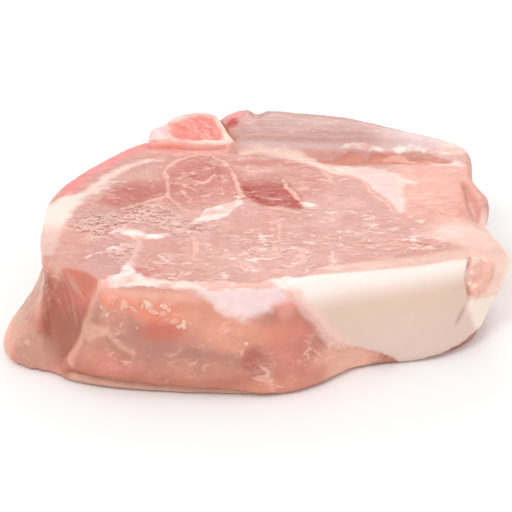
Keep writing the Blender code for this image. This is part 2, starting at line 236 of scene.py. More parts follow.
# on the flap the top patches are painted light and the low ones painted shade; the cap foot's tan and the pale foot are
# partly the foot's own beige, partly painted light against the shade at the foot
wallPatches = [
    (-30, 26.5, 8, 3.4, "flapTop", 0.8), (-43, 29.5, 6, 3.0, "flapTop", 0.7), (-28.5, 21.6, 7, 3.4, "flapRed", 0.7),
    (-44, 24, 5, 4, "flapTan", 0.7), (-50, 13.5, 6, 3.5, "flapTan", 0.5), (-46, 10, 9, 3.2, "flapPink", 0.5),
    (-12, 25, 12, 4.5, "flapOrange", 0.9), (-6, 19.5, 15, 4.2, "flapOrange", 0.75), (-25, 14, 13, 4, "flapMid", 0.7),
    (-18, 10, 14, 3, "flapTan", 0.55), (6, 29.5, 4.5, 2.2, "swirl", 0.9), (9.5, 26.5, 2.6, 3.4, "swirl", 0.75),
    (10, 19, 8, 7, "flapDeep", 0.7), (-1, 12.6, 3.4, 3.4, "flapDark", 0.8), (14, 9.5, 9, 5, "flapPink", 0.6),
    (-40, 4, 14, 1.6, "flapLow", 0.5), (27, 9, 9, 3.5, "capFootTan", 0.6), (9, 3.2, 15, 3.6, "footPale", 0.9),
    (30, 3.4, 8, 4.2, "capFootTan", 0.95),
]
# patches on the left wall and lobe: the dusk, deep and shade patches are painted shade in the hollow, the others are
# the flesh's own colours
lobePatches = [
    (-66.6, 24.5, 3.6, 8, "wallDusk", 0.95), (-67.2, 16, 1.7, 4.5, "wallDeep", 0.8), (-70, 12, 2.2, 4, "wallMid", 0.35),
    (-73.6, 14, 3.2, 4, "lobeShade", 0.9), (-62.3, 24, 3.0, 5, "wallDusk", 0.5), (-72.5, 19, 2.2, 3.5, "lobeEdge", 0.7),
    (-71.5, 6.5, 7, 5, "lobePale", 0.85),
]

# clusters of pale flecks, painted wet highlights, and of fine curly folds with painted highlights and shade along them,
# on the cut face: middle, radii and strength
fleckClusters = [
    (-52, -19.5, 8, 7, 0.9), (-51.5, 8.5, 5.5, 6, 1.0), (-37.5, -12.5, 11, 6, 0.9), (-44, -37, 6, 6, 0.6), (-27, -22, 9, 6, 0.6),
    (-29, -41.5, 5, 4, 1.0), (7.5, -38.8, 15, 8, 1.0), (13.6, -45.7, 11, 5, 1.0), (1.8, -30.5, 10, 7, 0.8),
    (-8.4, -40.7, 9, 7, 0.8), (-17.5, -54, 12, 4, 0.8), (27, -30.5, 12, 7, 0.8), (51, -31.7, 9, 5, 0.9),
    (24.7, -11.8, 13, 6, 0.6), (-4, 2.5, 4, 5, 1.0), (6.3, 0.5, 6, 5, 0.8), (26, 16, 10, 6, 0.35),
    (48, -20, 14, 7, 0.6), (60, -6, 8, 6, 0.3), (-25, -48, 8, 6, 0.5), (-19, 18, 8, 12, 0.35),
]
# clusters of painted wet highlights on the front and left walls: middle, radii and strength
wallFlecks = [
    (-46, 24, 5, 7, 0.45), (-40, 13, 6, 4, 0.35), (-76, 13, 4, 8, 0.3), (4, 8, 6, 6, 0.4),
    (20, 13, 8, 5, 0.4), (-22, 12, 8, 4, 0.25), (-66, 27, 4, 8, 0.25), (-10, 24, 9, 4, 0.25),
]
crinkleClusters = [
    (-52, -19, 9, 9, 1.0), (-37, -12, 13, 7, 1.0), (-24, -21, 10, 6, 0.8), (-44, -38, 8, 6, 0.5),
    (52, -31, 10, 5, 0.15), (-13, -52, 12, 5, 0.25), (4, -36, 12, 7, 0.3), (-34, -50, 6, 6, 0.2),
]

# the sawn bone end: outline and core on the face, and its colours
boneEnd = {
    "outline": [(-40, 44.2), (-40.4, 51.0), (-38.4, 54.6), (-35.2, 56.8), (-33.8, 60.0), (-31.6, 63.2),
                (-28.6, 65.6), (-24.4, 66.9), (-19.4, 66.9), (-15.4, 65.1), (-13.3, 60.5), (-11.2, 54.6),
                (-9.2, 48.4), (-7.9, 44.2), (-11.7, 42.9), (-18.3, 42.9), (-26.4, 42.9), (-34.8, 42.9)],
    "frontTop": (43.0, 36.6), "rise": 0.114, "floorShare": 0.94, "edge": 1.3, "columns": 280,
    "wallRows": 36, "edgeRows": 8, "topRows": 56, "hollow": 0.35,
    "core": [(-32.3, 57.4), (-28.5, 61.6), (-22.2, 63.4), (-17.2, 62.6), (-14.5, 59.6), (-13.0, 54.3),
             (-12.0, 48.7), (-12.5, 45.0), (-18, 44.4), (-23.9, 44.8), (-29.5, 45.4), (-33, 50.9)],
    "colours": {"rim": "#fdd5cc", "centre": "#e67b6b", "side": "#f9c0ae", "bluish": "#f9c9c6",
                "pinkTop": "#f6b4ae", "half": "#f6ab9f", "cream": "#f6d9bd", "front": "#f4a99a",
                "speck": "#c98d74", "band": "#fdd8ca", "stain": "#e59a8c"},
}

# skin colours, as seen in soft white light
skinColours = {
    "lean": "#d59e93", "leanPale": "#e2aca0", "leanPink": "#dc9c92", "leanDeep": "#ce8e82",
    "pinkish": "#dc9e90", "greyish": "#d5a397", "round": "#c56d60", "roundDeep": "#bd695e",
    "wedge": "#a9321a", "mauve": "#d19e97", "rearPale": "#e9a795", "slab": "#c6988e",
    "slabPale": "#e9cdcb", "slot": "#dd9888", "pinkRim": "#f49290",
    "raggedCut": "#c9685f", "rimWhite": "#ffe5da", "underCapShadow": "#b9796c", "wallDusk": "#a9604f", "wallDeep": "#a36350", "lobeShade": "#c98d7c",
    "wallRed": "#ce7d6b", "wallDark": "#a46b5b", "wallMid": "#c5766a", "wallPink": "#d99a8c",
    "lobe": "#f2b29d", "lobeEdge": "#c9ae9c", "flapTop": "#ec9379", "flapMid": "#b98274",
    "flapLow": "#bf7a65", "flapOrange": "#e29f88", "flapRed": "#cb6f5f", "flapTan": "#cf9480",
    "flapPink": "#d9887a", "flapDeep": "#d98978", "flapDark": "#b1655a", "swirl": "#efa9a0", "footPale": "#da9480", "flapPale": "#efc0ae", "lobePale": "#c59684",
    "ledge": "#d2a592", "capFootTan": "#efb9a5", "membrane": "#f2d8d5", "fat": "#e1c3b1",
    "fatShade": "#e3c9be", "fatTopHighlight": "#fff0e9", "fatPink": "#f0c6bb", "rightLobe": "#fad3c5",
    "rightEdge": "#fff4e6", "ragged": "#f1b8a9", "raggedPale": "#ffe9d3", "back": "#d29687",
    "backFat": "#f3d3c4", "slit": "#e6b0a8", "patchWhite": "#f3c5bf",
    "belowBone": "#f5aaa0", "underBoneShadow": "#d5897f", "tissue": "#d59d95", "tissuePink": "#f09a96", "blood": "#bd4840", "strip": "#fdebdd", "edgePale": "#e6b29c", "softFat": "#f5d6ca",
}


def srgb(code):
    # a colour code as linear red, green and blue
    parts = np.array([int(code[i:i + 2], 16) for i in (1, 3, 5)]) / 255
    return np.where(parts < 0.04045, parts / 12.92, ((parts + 0.055) / 1.055) ** 2.4)


def smooth(low, high, values):
    # 0 below low, 1 above high, with an eased slope between
    t = np.clip((values - low) / (high - low), 0, 1)
    return t * t * (3 - 2 * t)


def hashed(cells, seed):
    # one repeatable random number from 0 to 1 for each whole-numbered cell
    n = cells[:, 0] * 374761393 + cells[:, 1] * 668265263 + cells[:, 2] * 2147483629
    n = (n + seed * 1274126177) & 0xFFFFFFFF
    n = ((n ^ (n >> 13)) * 1274126177) & 0xFFFFFFFF
    return ((n ^ (n >> 16)) & 0xFFFF) / 65535


def softNoise(points, size, seed):
    # random numbers on a lattice with cells of the given size, eased between the corners
    cells = points / np.broadcast_to(np.array(size, float), (3,))
    base = np.floor(cells).astype(np.int64)
    part = cells - base
    part = part * part * (3 - 2 * part)
    total = np.zeros(len(points))
    for corner in range(8):
        step = np.array([corner & 1, corner >> 1 & 1, corner >> 2 & 1])
        weight = np.prod(np.where(step, part, 1 - part), axis=1)
        total += hashed(base + step, seed) * weight
    return total * 2 - 1


def layeredNoise(points, size, seed, layers=3):
    # soft noise, with finer and weaker layers added
    size = np.array(size, float)
    total = 0
    for layer in range(layers):
        total = total + softNoise(points, size / 2 ** layer, seed + 17 * layer) / 2 ** layer
    return total / (2 - 2 ** (1 - layers))


def splinePath(rows, steps=10):
    # a smooth line through the rows, each span drawn from its two ends and their neighbours
    rows = np.array(rows, float)
    held = np.vstack([2 * rows[0] - rows[1], rows, 2 * rows[-1] - rows[-2]])
    t = np.linspace(0, 1, steps, endpoint=False)[None, :, None]
    a, b, c, d = (held[i:len(held) - 3 + i][:, None, :] for i in range(4))
    spans = 0.5 * (2 * b + (c - a) * t + (2 * a - 5 * b + 4 * c - d) * t ** 2
                   + (3 * b - a - 3 * c + d) * t ** 3)
    return np.vstack([spans.reshape(-1, rows.shape[1]), rows[-1:]])


def strandField(places, rows, reach=6.0):
    # half width less distance to the strand's middle line: above 0 inside the strand
    path = splinePath(rows)
    spots, widths = path[:, :-1], path[:, -1]
    low, high = spots.min(axis=0) - reach, spots.max(axis=0) + reach
    near = np.all((places > low) & (places < high), axis=1)
    field = np.full(len(places), -reach)
    if near.any():
        gap = np.linalg.norm(places[near][:, None, :] - spots[None, :, :], axis=2)
        field[near] = np.maximum((widths[None, :] - gap).max(axis=1), -reach)
    return field


def areaField(places, corners):
    # distance to an area's outline, above 0 inside it; a place is inside when a line to its
    # right crosses the outline an odd number of times
    corners = np.array(corners, float)
    after = np.roll(corners, -1, axis=0)
    field = np.full(len(places), -6.0)
    near = np.all((places > corners.min(axis=0) - 6) & (places < corners.max(axis=0) + 6), axis=1)
    if near.any():
        spots = places[near][:, None, :]
        side = after - corners
        share = np.clip(((spots - corners) * side).sum(axis=2) / (side ** 2).sum(axis=1), 0, 1)
        gap = np.linalg.norm(spots - corners - share[..., None] * side, axis=2).min(axis=1)
        spansY = (corners[:, 1] > spots[..., 1]) != (after[:, 1] > spots[..., 1])
        slope = side[:, 0] / np.where(side[:, 1] == 0, 1e-9, side[:, 1])
        toRight = spots[..., 0] < corners[:, 0] + slope * (spots[..., 1] - corners[:, 1])
        inArea = (spansY & toRight).sum(axis=1) % 2 == 1
        field[near] = np.maximum(np.where(inArea, gap, -gap), -6)
    return field


def through(points):
    # control points of the closed cubic spline that passes through the given points
    eye = np.eye(len(points))
    weights = (4 * eye + np.roll(eye, 1, axis=0) + np.roll(eye, -1, axis=0)) / 6
    return np.linalg.solve(weights, points)


def outward(points):
    # level unit normals of a closed ring that runs anticlockwise
    along = (np.roll(points, -1, axis=0) - np.roll(points, 1, axis=0))[:, :2]
    along = along / np.linalg.norm(along, axis=1)[:, None]
    return np.column_stack([along[:, 1], -along[:, 0], np.zeros(len(points))])


def atHeight(points, z):
    level = np.array(points, float)
    level[:, 2] = z
    return level


def chopCage():
    # rings of the control cage from the hub of the upper face down to the hub of the underside,
    # with each hub's inner ring mirrored through it so that the surface closes there
    table = np.array(list(form["outline"].values()))
    upper = through(table[:, 0:3])
    lower = through(np.column_stack([table[:, 5:7], np.zeros(len(table))]))
    out, outLow = outward(upper), outward(lower)
    softness, swell = table[:, 3:4], table[:, 4:5]
    thickness = form["thickness"]
    hub = np.tile([*form["hub"], thickness], (len(table), 1))
    middle = atHeight(upper * form["hubShare"], thickness)
    shoulder = atHeight(upper - out * form["shoulderInset"], thickness)
    crest = upper - out * softness
    crest[:, 2] = upper[:, 2]
    for index, name in enumerate(form["outline"]):
        if name in form["stepGroove"]:
            x = table[index, 0] * form["stepTaper"]
            y, half = form["stepY"], form["stepWidth"] / 2
            shoulder[index] = (x, y - half, thickness - form["stepGroove"][name])
            crest[index] = (x, y + half, table[index, 2] - form["stepLip"])
    lip = upper + out * form["lipBulge"]
    lip[:, 2] -= softness[:, 0]
    belt = (upper + lower) / 2 + out * swell
    belt[:, 2] = form["beltHeight"] * upper[:, 2]
    turn = atHeight(lower + outLow * form["underSwell"], form["underHeight"])
    under = lower - outLow * form["underInset"]
    floorHub = atHeight(hub, 0)
    floorMiddle = atHeight(lower * form["hubShare"], 0)
    cage = np.stack([2 * hub - middle, hub, middle, shoulder, crest, upper, lip, belt, turn,
                     lower, under, floorMiddle, floorHub, 2 * floorHub - floorMiddle])
    return cage - np.array([*form["centre"], 0.0])


def splineWeights(t):
    return np.stack([(1 - t) ** 3, 3 * t ** 3 - 6 * t ** 2 + 4,
                     -3 * t ** 3 + 3 * t ** 2 + 3 * t + 1, t ** 3]) / 6


def cageSurface(cage, around, down):
    # point of the bicubic surface over the cage: around counts landmarks, down counts rings
    rings, landmarks = cage.shape[:2]
    i, j = np.floor(around).astype(int), np.clip(np.floor(down).astype(int), 0, rings - 4)
    wi, wj = splineWeights(around - i), splineWeights(down - j)
    total = 0
    for a in range(4):
        for b in range(4):
            weight = (wi[b] * wj[a])[..., None]
            total = total + weight * cage[j + a, (i + b - 1) % landmarks]
    return total


def squareToDisc(cells):
    # a square lattice bent into a disc: equal steps along the square's edge become equal
    # angles, and inner points follow by x*sqrt(1 - y*y/2) and y*sqrt(1 - x*x/2)
    edge = math.sqrt(2) * np.sin(math.pi / 4 * np.linspace(-1, 1, cells + 1))
    x, y = np.meshgrid(edge, edge)
    discX, discY = x * np.sqrt(1 - y * y / 2), y * np.sqrt(1 - x * x / 2)
    return np.hypot(discX, discY).ravel(), np.arctan2(discY, discX).ravel()


def ringOfLattice(cells):
    # indices of a lattice's edge, anticlockwise
    side = np.arange(cells + 1)
    whole = np.arange((cells + 1) ** 2).reshape(cells + 1, cells + 1)
    return np.concatenate([whole[0, side[:-1]], whole[side[:-1], -1],
                           whole[-1, side[:0:-1]], whole[side[:0:-1], 0]])


def lengthAlong(points):
    # share of the way along each row of points, measured on the surface
    steps = np.linalg.norm(np.diff(points, axis=1), axis=2)
    reach = np.concatenate([np.zeros((len(points), 1)), np.cumsum(steps, axis=1)], axis=1)
    return reach / reach[:, -1:]


def gridFaces(rows):
    # quads between rows of indices, each row closed on itself
    nextRow, after = rows[1:], np.roll(rows, -1, axis=1)
    return np.stack([rows[:-1], nextRow, after[1:], after[:-1]], axis=-1).reshape(-1, 4)


def chopSkin():
    # the whole skin: a lattice over the upper face, rows down the wall that start from the
    # lattice's edge, and rings over the underside
    cage = chopCage()
    landmarks = cage.shape[1]
    cells = skinMesh["lattice"]
    rimKnot = skinMesh["wallKnots"][0]

    rimAround = np.linspace(0, landmarks, landmarks * 40 + 1)
    rim = cageSurface(cage, rimAround, np.full(len(rimAround), rimKnot))
    rimShare = lengthAlong(rim[None])[0]

    share, angle = squareToDisc(cells)
    around = np.interp(((angle - skinMesh["turn"]) / (2 * math.pi)) % 1, rimShare, rimAround)

    # the knot at each share of the way from the hub to the rim, looked up in two neighbouring
    # columns of a table: each column's shares are raised by 2 so that one search serves all
    fine = 8
    columns = np.arange(landmarks * fine + 1) / fine
    knots = np.linspace(0, rimKnot, 161)
    reach = lengthAlong(cageSurface(cage, *np.broadcast_arrays(columns[:, None], knots[None])))
    stacked = (reach + 2 * np.arange(len(columns))[:, None]).ravel()
    down = 0
    column = np.minimum(np.floor(around * fine).astype(int), len(columns) - 2)
    for side in (0, 1):
        wanted = np.minimum(share, 1) + 2 * (column + side)
        place = np.clip(np.searchsorted(stacked, wanted, side="right") - 1, 0, len(stacked) - 2)
        part = (wanted - stacked[place]) / np.maximum(stacked[place + 1] - stacked[place], 1e-9)
        knot = (place % len(knots) + np.clip(part, 0, 1)) * rimKnot / (len(knots) - 1)
        mix = around * fine - column
        down = down + knot * (mix if side else 1 - mix)
    top = cageSurface(cage, around, down)

    edge = ringOfLattice(cells)
    wallKnots, wallRows = skinMesh["wallKnots"], skinMesh["wallRows"]
    wallDown = np.concatenate([np.linspace(a, b, n + 1)[1:] for a, b, n in
                               zip(wallKnots, wallKnots[1:], wallRows)])
    underDown = np.linspace(wallKnots[-1], 11, skinMesh["underRows"] + 1)[1:-1]
    rowDown = np.concatenate([wallDown, underDown])
    gridAround, gridDown = np.broadcast_arrays(around[edge][None], rowDown[:, None])
    wall = cageSurface(cage, gridAround, gridDown)
    pole = cageSurface(cage, np.zeros(1), np.full(1, 11.0))

    points = np.vstack([top, wall.reshape(-1, 3), pole])
    around = np.concatenate([around, gridAround.ravel(), [0]])
    down = np.concatenate([down, gridDown.ravel(), [11]])
    first = len(top)
    rows = np.vstack([edge[None], first + np.arange(wall.shape[0] * len(edge)).reshape(wall.shape[:2])])
    lattice = np.arange(first).reshape(cells + 1, cells + 1)
    quads = np.stack([lattice[:-1, :-1], lattice[:-1, 1:], lattice[1:, 1:], lattice[1:, :-1]],
                     axis=-1).reshape(-1, 4)
    last = len(points) - 1
    fan = np.stack([rows[-1], np.full(len(edge), last), np.roll(rows[-1], -1)], axis=-1)
    faces = np.vstack([quads, gridFaces(rows)]).tolist() + fan.tolist()
    rimLine = cageSurface(cage, rimAround[::4], np.full(len(rimAround[::4]), rimKnot))
    return points, faces, around, down, rimLine


def makePiece(name, points, faces, attributes):
    # a smooth mesh object in metres, with numbers and colours stored on its points
    mesh = bpy.data.meshes.new(name)
    mesh.from_pydata((np.asarray(points) * mm).tolist(), [], faces if isinstance(faces, list) else faces.tolist())
    mesh.shade_smooth()
    for key, values in attributes.items():
        values = np.asarray(values, float)
        if values.ndim == 1:
            layer = mesh.attributes.new(key, "FLOAT", "POINT")
            layer.data.foreach_set("value", values)
        else:
            layer = mesh.attributes.new(key, "FLOAT_COLOR", "POINT")
            layer.data.foreach_set("color", np.column_stack([values, np.ones(len(values))]).ravel())
    piece = bpy.data.objects.new(name, mesh)
    bpy.context.scene.collection.objects.link(piece)
    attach(piece, "root")
    return piece


def pointNormals(points, faces):
    mesh = bpy.data.meshes.new("measure")
    mesh.from_pydata(points.tolist(), [], faces)
    normals = np.empty(len(points) * 3)
    mesh.vertices.foreach_get("normal", normals)
    bpy.data.meshes.remove(mesh)
    return normals.reshape(-1, 3)


def blob(places, centre, radii, softness=0.35):
    # 1 well inside an oval, 0 outside it
    away = np.linalg.norm((places - np.array(centre)) / np.array(radii), axis=1)
    return 1 - smooth(1 - softness, 1 + softness, away)


def band(values, low, high, soft):
    # 1 between low and high, with soft ends
    return smooth(low - soft, low + soft, values) * (1 - smooth(high - soft, high + soft, values))


def clusters(places, table):
    # the strongest of several soft ovals, each given by its middle, radii and strength
    strongest = np.zeros(len(places))
    for middleX, middleY, radiusX, radiusY, strength in table:
        oval = blob(places, (middleX, middleY), (radiusX, radiusY), 0.5) * strength
        strongest = np.maximum(strongest, oval)
    return strongest


print("stage: chop skin")

points, faces, around, down, rimLine = chopSkin()
normals = pointNormals(points, faces)
x, y, z = points.T
onTop = 1 - smooth(3.7, 4.6, down)               # the upper face, fading out over its edge
onWall = smooth(3.8, 4.6, down) * (1 - smooth(8.2, 8.9, down))
underside = smooth(8.3, 9.0, down)
depth = np.where(down < 4, 0, np.maximum(form["thickness"] - z, 0))   # how far below the upper face
flat = points[:, :2]
onFace = down < 4
rimGap = np.zeros(len(points))
rimGap[onFace] = np.min(np.linalg.norm(flat[onFace][:, None, :] - rimLine[None, :, :2], axis=2), axis=1)
inside = np.where(down < 4, rimGap, -np.maximum(form["thickness"] - z, 0))

# the places that regions are read at wander a little, so that no edge is ruled
wander = np.column_stack([layeredNoise(points, 9.0, seed) for seed in (11, 12)]) * 1.6
wanderFine = np.column_stack([layeredNoise(points, 2.6, seed) for seed in (13, 14)]) * 0.45
drift = flat + wander + wanderFine
driftFine = flat + wander * 0.3 + wanderFine
wallX = x + wander[:, 0] * 0.8 + wanderFine[:, 0]
wallZ = z + wander[:, 1] * 0.8 + wanderFine[:, 1]



def strandsField(places, strands, gap=0.0):
    # the strongest of several strands
    field = np.full(len(places), -6.0)
    for rows in strands.values():
        field = np.maximum(field, strandField(places, rows) - gap)
    return field


onFront = onWall * (y < -28)
wallPlaces = np.column_stack([wallX, wallZ])
wallFine = np.column_stack([x + wander[:, 0] * 0.25, z + wander[:, 1] * 0.25]) + wanderFine * 0.6
fatField = strandsField(driftFine, fatStrands, 0.8 * depth)
fatField = np.maximum(fatField, areaField(driftFine, faceAreas["fleck"]) + 0.4) * 1.0
fatField = fatField + 0.5 * softNoise(points, 1.8, 17) + 0.25 * softNoise(points, 1.0, 18)
seamField = strandsField(flat + wander * 0.45 + wanderFine * 1.5, seamStrands, 0.8 * depth)
seamField = seamField + 0.25 * softNoise(points, 2.2, 19) - 0.6 * smooth(0.1, 0.6, softNoise(points, 6.0, 20)) + 0.15
softField = strandsField(driftFine + wanderFine * 0.8, softStrands, 0.6 * depth)
softField = softField + 0.9 * softNoise(points, 3.0, 16)
patchField = np.maximum(areaField(drift, faceAreas["patch"]), areaField(drift, faceAreas["ridge"])) - 0.6 * depth
patchField = patchField + 1.1 * layeredNoise(points, (5.0, 3.0, 4.0), 26) - 0.5
frontField = np.where((y < -35) & (down > 3.6), strandsField(wallFine, wallStrands), -6.0)
fibreField = np.where((y < -35) & (down > 4.0), strandsField(wallFine, fibreStrands), -6.0)

# fat cap: on the front wall between a slanted left edge and the right lobe
capLeft = np.interp(wallZ, [0, 4.0, 7.0, 10, 13.1, 16.6, 21.3, 26.3, 30.6, 34],
                    [46, 43, 36.5, 29.4, 24.9, 22.0, 19.2, 15.8, 11.8, 8.6])
capRight = np.interp(wallZ, [0, 2, 3.2, 4.6, 7, 9, 12, 15.5, 17.5, 23, 28.5, 34],
                     [62, 68, 74, 79, 83, 84, 82, 78, 68.5, 67.6, 67.2, 66.4])
capReach = np.interp(x, [8, 16, 28, 60], [3.8, 3.2, 2.0, 1.0]) - inside
capField = np.minimum(np.minimum(wallX - capLeft, capRight - wallX), np.where(onFace, capReach, 9))
capField = np.clip(np.where((y < -30) & (x > -5), capField, -6.0), -6, 6)
isCap = smooth(-0.6, 0.8, capField)

# regions of the wall, told by the landmark they are under
lobeSide = band(around, 12.6, 16.9, 0.35) * onWall
leftWall = band(around, 16.9, 19.15, 0.25) * onWall
flapWall = band(around, 19.15, 27.0, 0.2) * onWall * (1 - isCap)
rightLobe = (smooth(27.6, 28.1, around) + 1 - smooth(1.2, 1.8, around)) * smooth(2.9, 4.2, down)
rightLobe = np.clip(rightLobe, 0, 1) * (1 - underside) * (1 - isCap)
backWall = band(around, 1.4, 12.8, 0.4) * onWall
slab = smooth(39.0, 41.5, y) * smooth(-9, -5, x) * (1 - smooth(4.4, 5.0, down))
slotLine = np.interp(drift[:, 0], [18, 25, 33, 40, 46, 55, 64, 72], [37.2, 37.8, 38.6, 38.2, 38.2, 37.6, 36.0, 32.5])
slotWidth = np.interp(x, [19, 26, 34, 38.5, 40.5, 42.5, 50, 60, 66, 71], [0.2, 1.6, 3.4, 3.6, 0.9, 3.3, 3.2, 3.4, 1.8, 0.2])
slotWidth = slotWidth + 0.6 * softNoise(points, 5.0, 15)
slot = smooth(-0.9, 0.9, slotWidth - np.abs(drift[:, 1] - slotLine + 2.6)) * smooth(0.5, 1.5, slotWidth) * onTop
wedge = smooth(-1.3, 1.5, areaField(flat + wander * 0.4 + wanderFine * 1.5, faceAreas["wedge"])) * onTop
roundMuscle = blob(drift, (-20.5, 17), (11.5, 20))
membrane = smooth(-1.2, 1.6, areaField(wallPlaces, wallAreas["membrane"]) + softNoise(points, 2.4, 27))
membrane = membrane * smooth(3.0, 3.5, down) * (y < -50)
ragged = blob(wallPlaces, (71.6, 24.4), (4.8, 7.8), 0.3) * (y < -25) * smooth(3.2, 4.0, down)
undercut = np.array(undercut)
overLedge = z - np.interp(x + wander[:, 0] * 0.3, *undercut.T) + wanderFine[:, 1] * 0.6
ledgeZone = smooth(-62.5, -57.5, x) * (1 - smooth(0, 8, x)) * (y < -50) * (down < 8.9)

# relief, in millimetres along the skin's outward direction
grainTop = softNoise(points, (2.6, 1.5, 2.4), 31) + 0.6 * softNoise(points, (1.5, 0.9, 1.4), 32)
crinkle = 1 - smooth(0.0, 0.22, np.abs(layeredNoise(points, (3.4, 2.2, 3.0), 33, 2)))
crinkleZone, fleckZone = clusters(drift, crinkleClusters), clusters(drift, fleckClusters)
crinkleZone = crinkleZone * onTop * (1 - slab)
acrossFibre = 0.9 * x + 0.42 * z                  # across and along the left wall's slanting fibres
alongFibre = -0.42 * x + 0.9 * z
fibreSpots = np.column_stack([acrossFibre, alongFibre, y * 0.4])
fibres = softNoise(fibreSpots, (1.5, 12, 9), 41) + 0.6 * softNoise(fibreSpots, (0.9, 7, 9), 42)
fibreZone = np.clip(leftWall + 0.45 * lobeSide, 0, 1)
smoothSkin = 1 - 0.88 * isCap
relief = 0.55 * layeredNoise(points, 15.0, 21) * (onWall + 0.45 * onTop)
relief += 0.34 * layeredNoise(points, 5.0, 22) * smoothSkin * (onWall + 0.5 * onTop)
relief += 0.08 * grainTop * onTop * smoothSkin
relief += 0.3 * crinkle * crinkleZone * smoothSkin + 0.12 * grainTop * fleckZone * onTop
relief += 0.18 * layeredNoise(points, 1.9, 24) * onWall * smoothSkin
relief += -0.1 * band(seamField, -1.2, -0.2, 0.4) * onTop + 0.15 * smooth(-0.2, 0.5, seamField) * onTop
relief += 0.2 * smooth(-0.3, 1.0, fatField) * onTop
relief += 0.6 * roundMuscle * onTop - 0.15 * wedge
relief += -2.0 * blob(flat, (0.2, 66.8), (2.4, 5), 0.7) * (down < 5.2)
relief += -1.1 * slot
relief += -2.4 * smooth(-0.8, 0.8, areaField(flat, boneEnd["outline"])) * smooth(-22, -14, x) * (down < 4.4)
relief += 0.34 * fibres * fibreZone + 0.3 * smooth(-0.4, 0.4, fibreField)
relief += 0.35 * smooth(-0.5, 0.6, frontField)
relief += (0.9 * softNoise(points, 1.9, 51) + 0.5 * softNoise(points, 1.1, 52) + 0.4) * ragged
raggedEdge = [(68.4, 31.8, 0.1), (67.4, 29.0, 0.2), (67.0, 26.0, 0.3), (67.6, 22.6, 0.2), (68.8, 19.2, 0.1)]
raggedCut = smooth(-0.8, 0.3, strandField(wallFine, raggedEdge)) * (y < -30) * (down > 3.6)
relief += -1.2 * raggedCut
relief += 0.3 * smooth(-0.2, 0.7, capField) * onWall
creaseLine = [(69.3, 18.2, 0.2), (67.4, 15.4, 0.4), (65.8, 13.2, 0.35), (64.6, 11.6, 0.15)]
crease = strandField(wallFine, creaseLine)
relief += -1.3 * smooth(-0.9, 0.4, crease) * (y < -30)
slitLine = [(72.5, 12, 0.1), (73.4, 4, 1.0), (74.0, -4, 1.6), (74.2, -11.5, 0.5)]
slit = strandField(flat, slitLine)
relief += -2.8 * smooth(-1.3, 0.9, slit) * (down < 5.5)
# the gap under the fat cap's lower right: sunk in, and painted dark red as the meat under the cap with a painted shadow
# over it
capGap = 1 - smooth(0.75, 1.25, wallZ / np.interp(x, [50, 60, 68, 76, 82], [0.4, 1.4, 3.2, 5.2, 7.0]))
capGap = capGap * smooth(50, 60, x) * (y < -15) * onWall
relief += -1.3 * capGap
lobeBulge = blob(np.column_stack([around, z]), (14.9, 12), (1.9, 11), 0.6) * onWall
relief += 0.3 * lobeBulge
relief += ledgeZone * (1.0 * band(overLedge, 0.5, 4.5, 1.2) - 1.5 * band(overLedge, -1.6, 0.1, 0.5))
lobeFold = strandField(wallFine, [(-68.3, 24, 0.1), (-67.4, 18, 0.4), (-66.6, 12, 0.5), (-66, 7, 0.3)])
relief += -0.9 * smooth(-1.1, 0.4, lobeFold) * (y < -35) * (down > 4)
relief *= 1 - underside
relief *= smooth(0.0, 1.4, z)

skin = points + normals * relief[:, None]
low, high = (np.array(corner) / mm for corner in cadBounds)
skin = np.clip(skin, low + 0.02, high - 0.02)
skin[:, 2] = np.where(down > 8.95, points[:, 2], skin[:, 2])

tone = np.tile(srgb(skinColours["lean"]), (len(points), 1))


def paint(mask, colour, strength=1.0):
    # lay a colour over the tone wherever the mask says
    global tone
    mask = np.clip(mask * strength, 0, 1)[:, None]
    tone = tone * (1 - mask) + srgb(skinColours[colour]) * mask


big = layeredNoise(points, 13.0, 61)
paint(smooth(0.05, 0.5, big), "leanPale", 0.55)
paint(smooth(0.05, 0.5, -big), "leanDeep", 0.4)
for middleX, middleY, radiusX, radiusY, colour, strength in facePatches:
    paint(blob(drift, (middleX, middleY), (radiusX, radiusY), 0.45), colour, strength)
paint(wedge * (1 - 0.7 * smooth(8, 20, drift[:, 1])), "wedge", 0.95)
paint(slab, "slab")
paint(slab * smooth(36, 60, x), "slabPale", 0.9)
paint(slab * smooth(0.1, 0.5, softNoise(points, (26, 1.8, 9), 62)), "slabPale", 0.16)
# painted light that lifts the shade in the crease at the slab's foot
paint(slab * (1 - smooth(40.5, 44.5, y)), "slabPale", 0.55)
paint(slot, "slot", 0.95)
paint(blob(flat, (72, 39.5), (6.5, 4.5)) * (down < 5), "softFat", 0.75)
rimSide = band(around, 9.6, 13.2, 0.35)
paint(rimSide * smooth(-7.2, -4.6, -np.maximum(inside, -9)) * smooth(-8, -2, inside)
      * (0.6 + 0.4 * smooth(-0.3, 0.3, layeredNoise(points, 12.0, 66))), "pinkRim", 0.95)
paint(backWall, "back")
paint(backWall * smooth(0.0, 0.5, layeredNoise(points, (14, 14, 6), 63)), "backFat", 0.55)
paint(lobeSide, "lobe")
paint(lobeSide * smooth(0.1, 0.6, layeredNoise(points, (7, 7, 5), 64)), "lobeEdge", 0.7)
paint(leftWall, "wallMid")
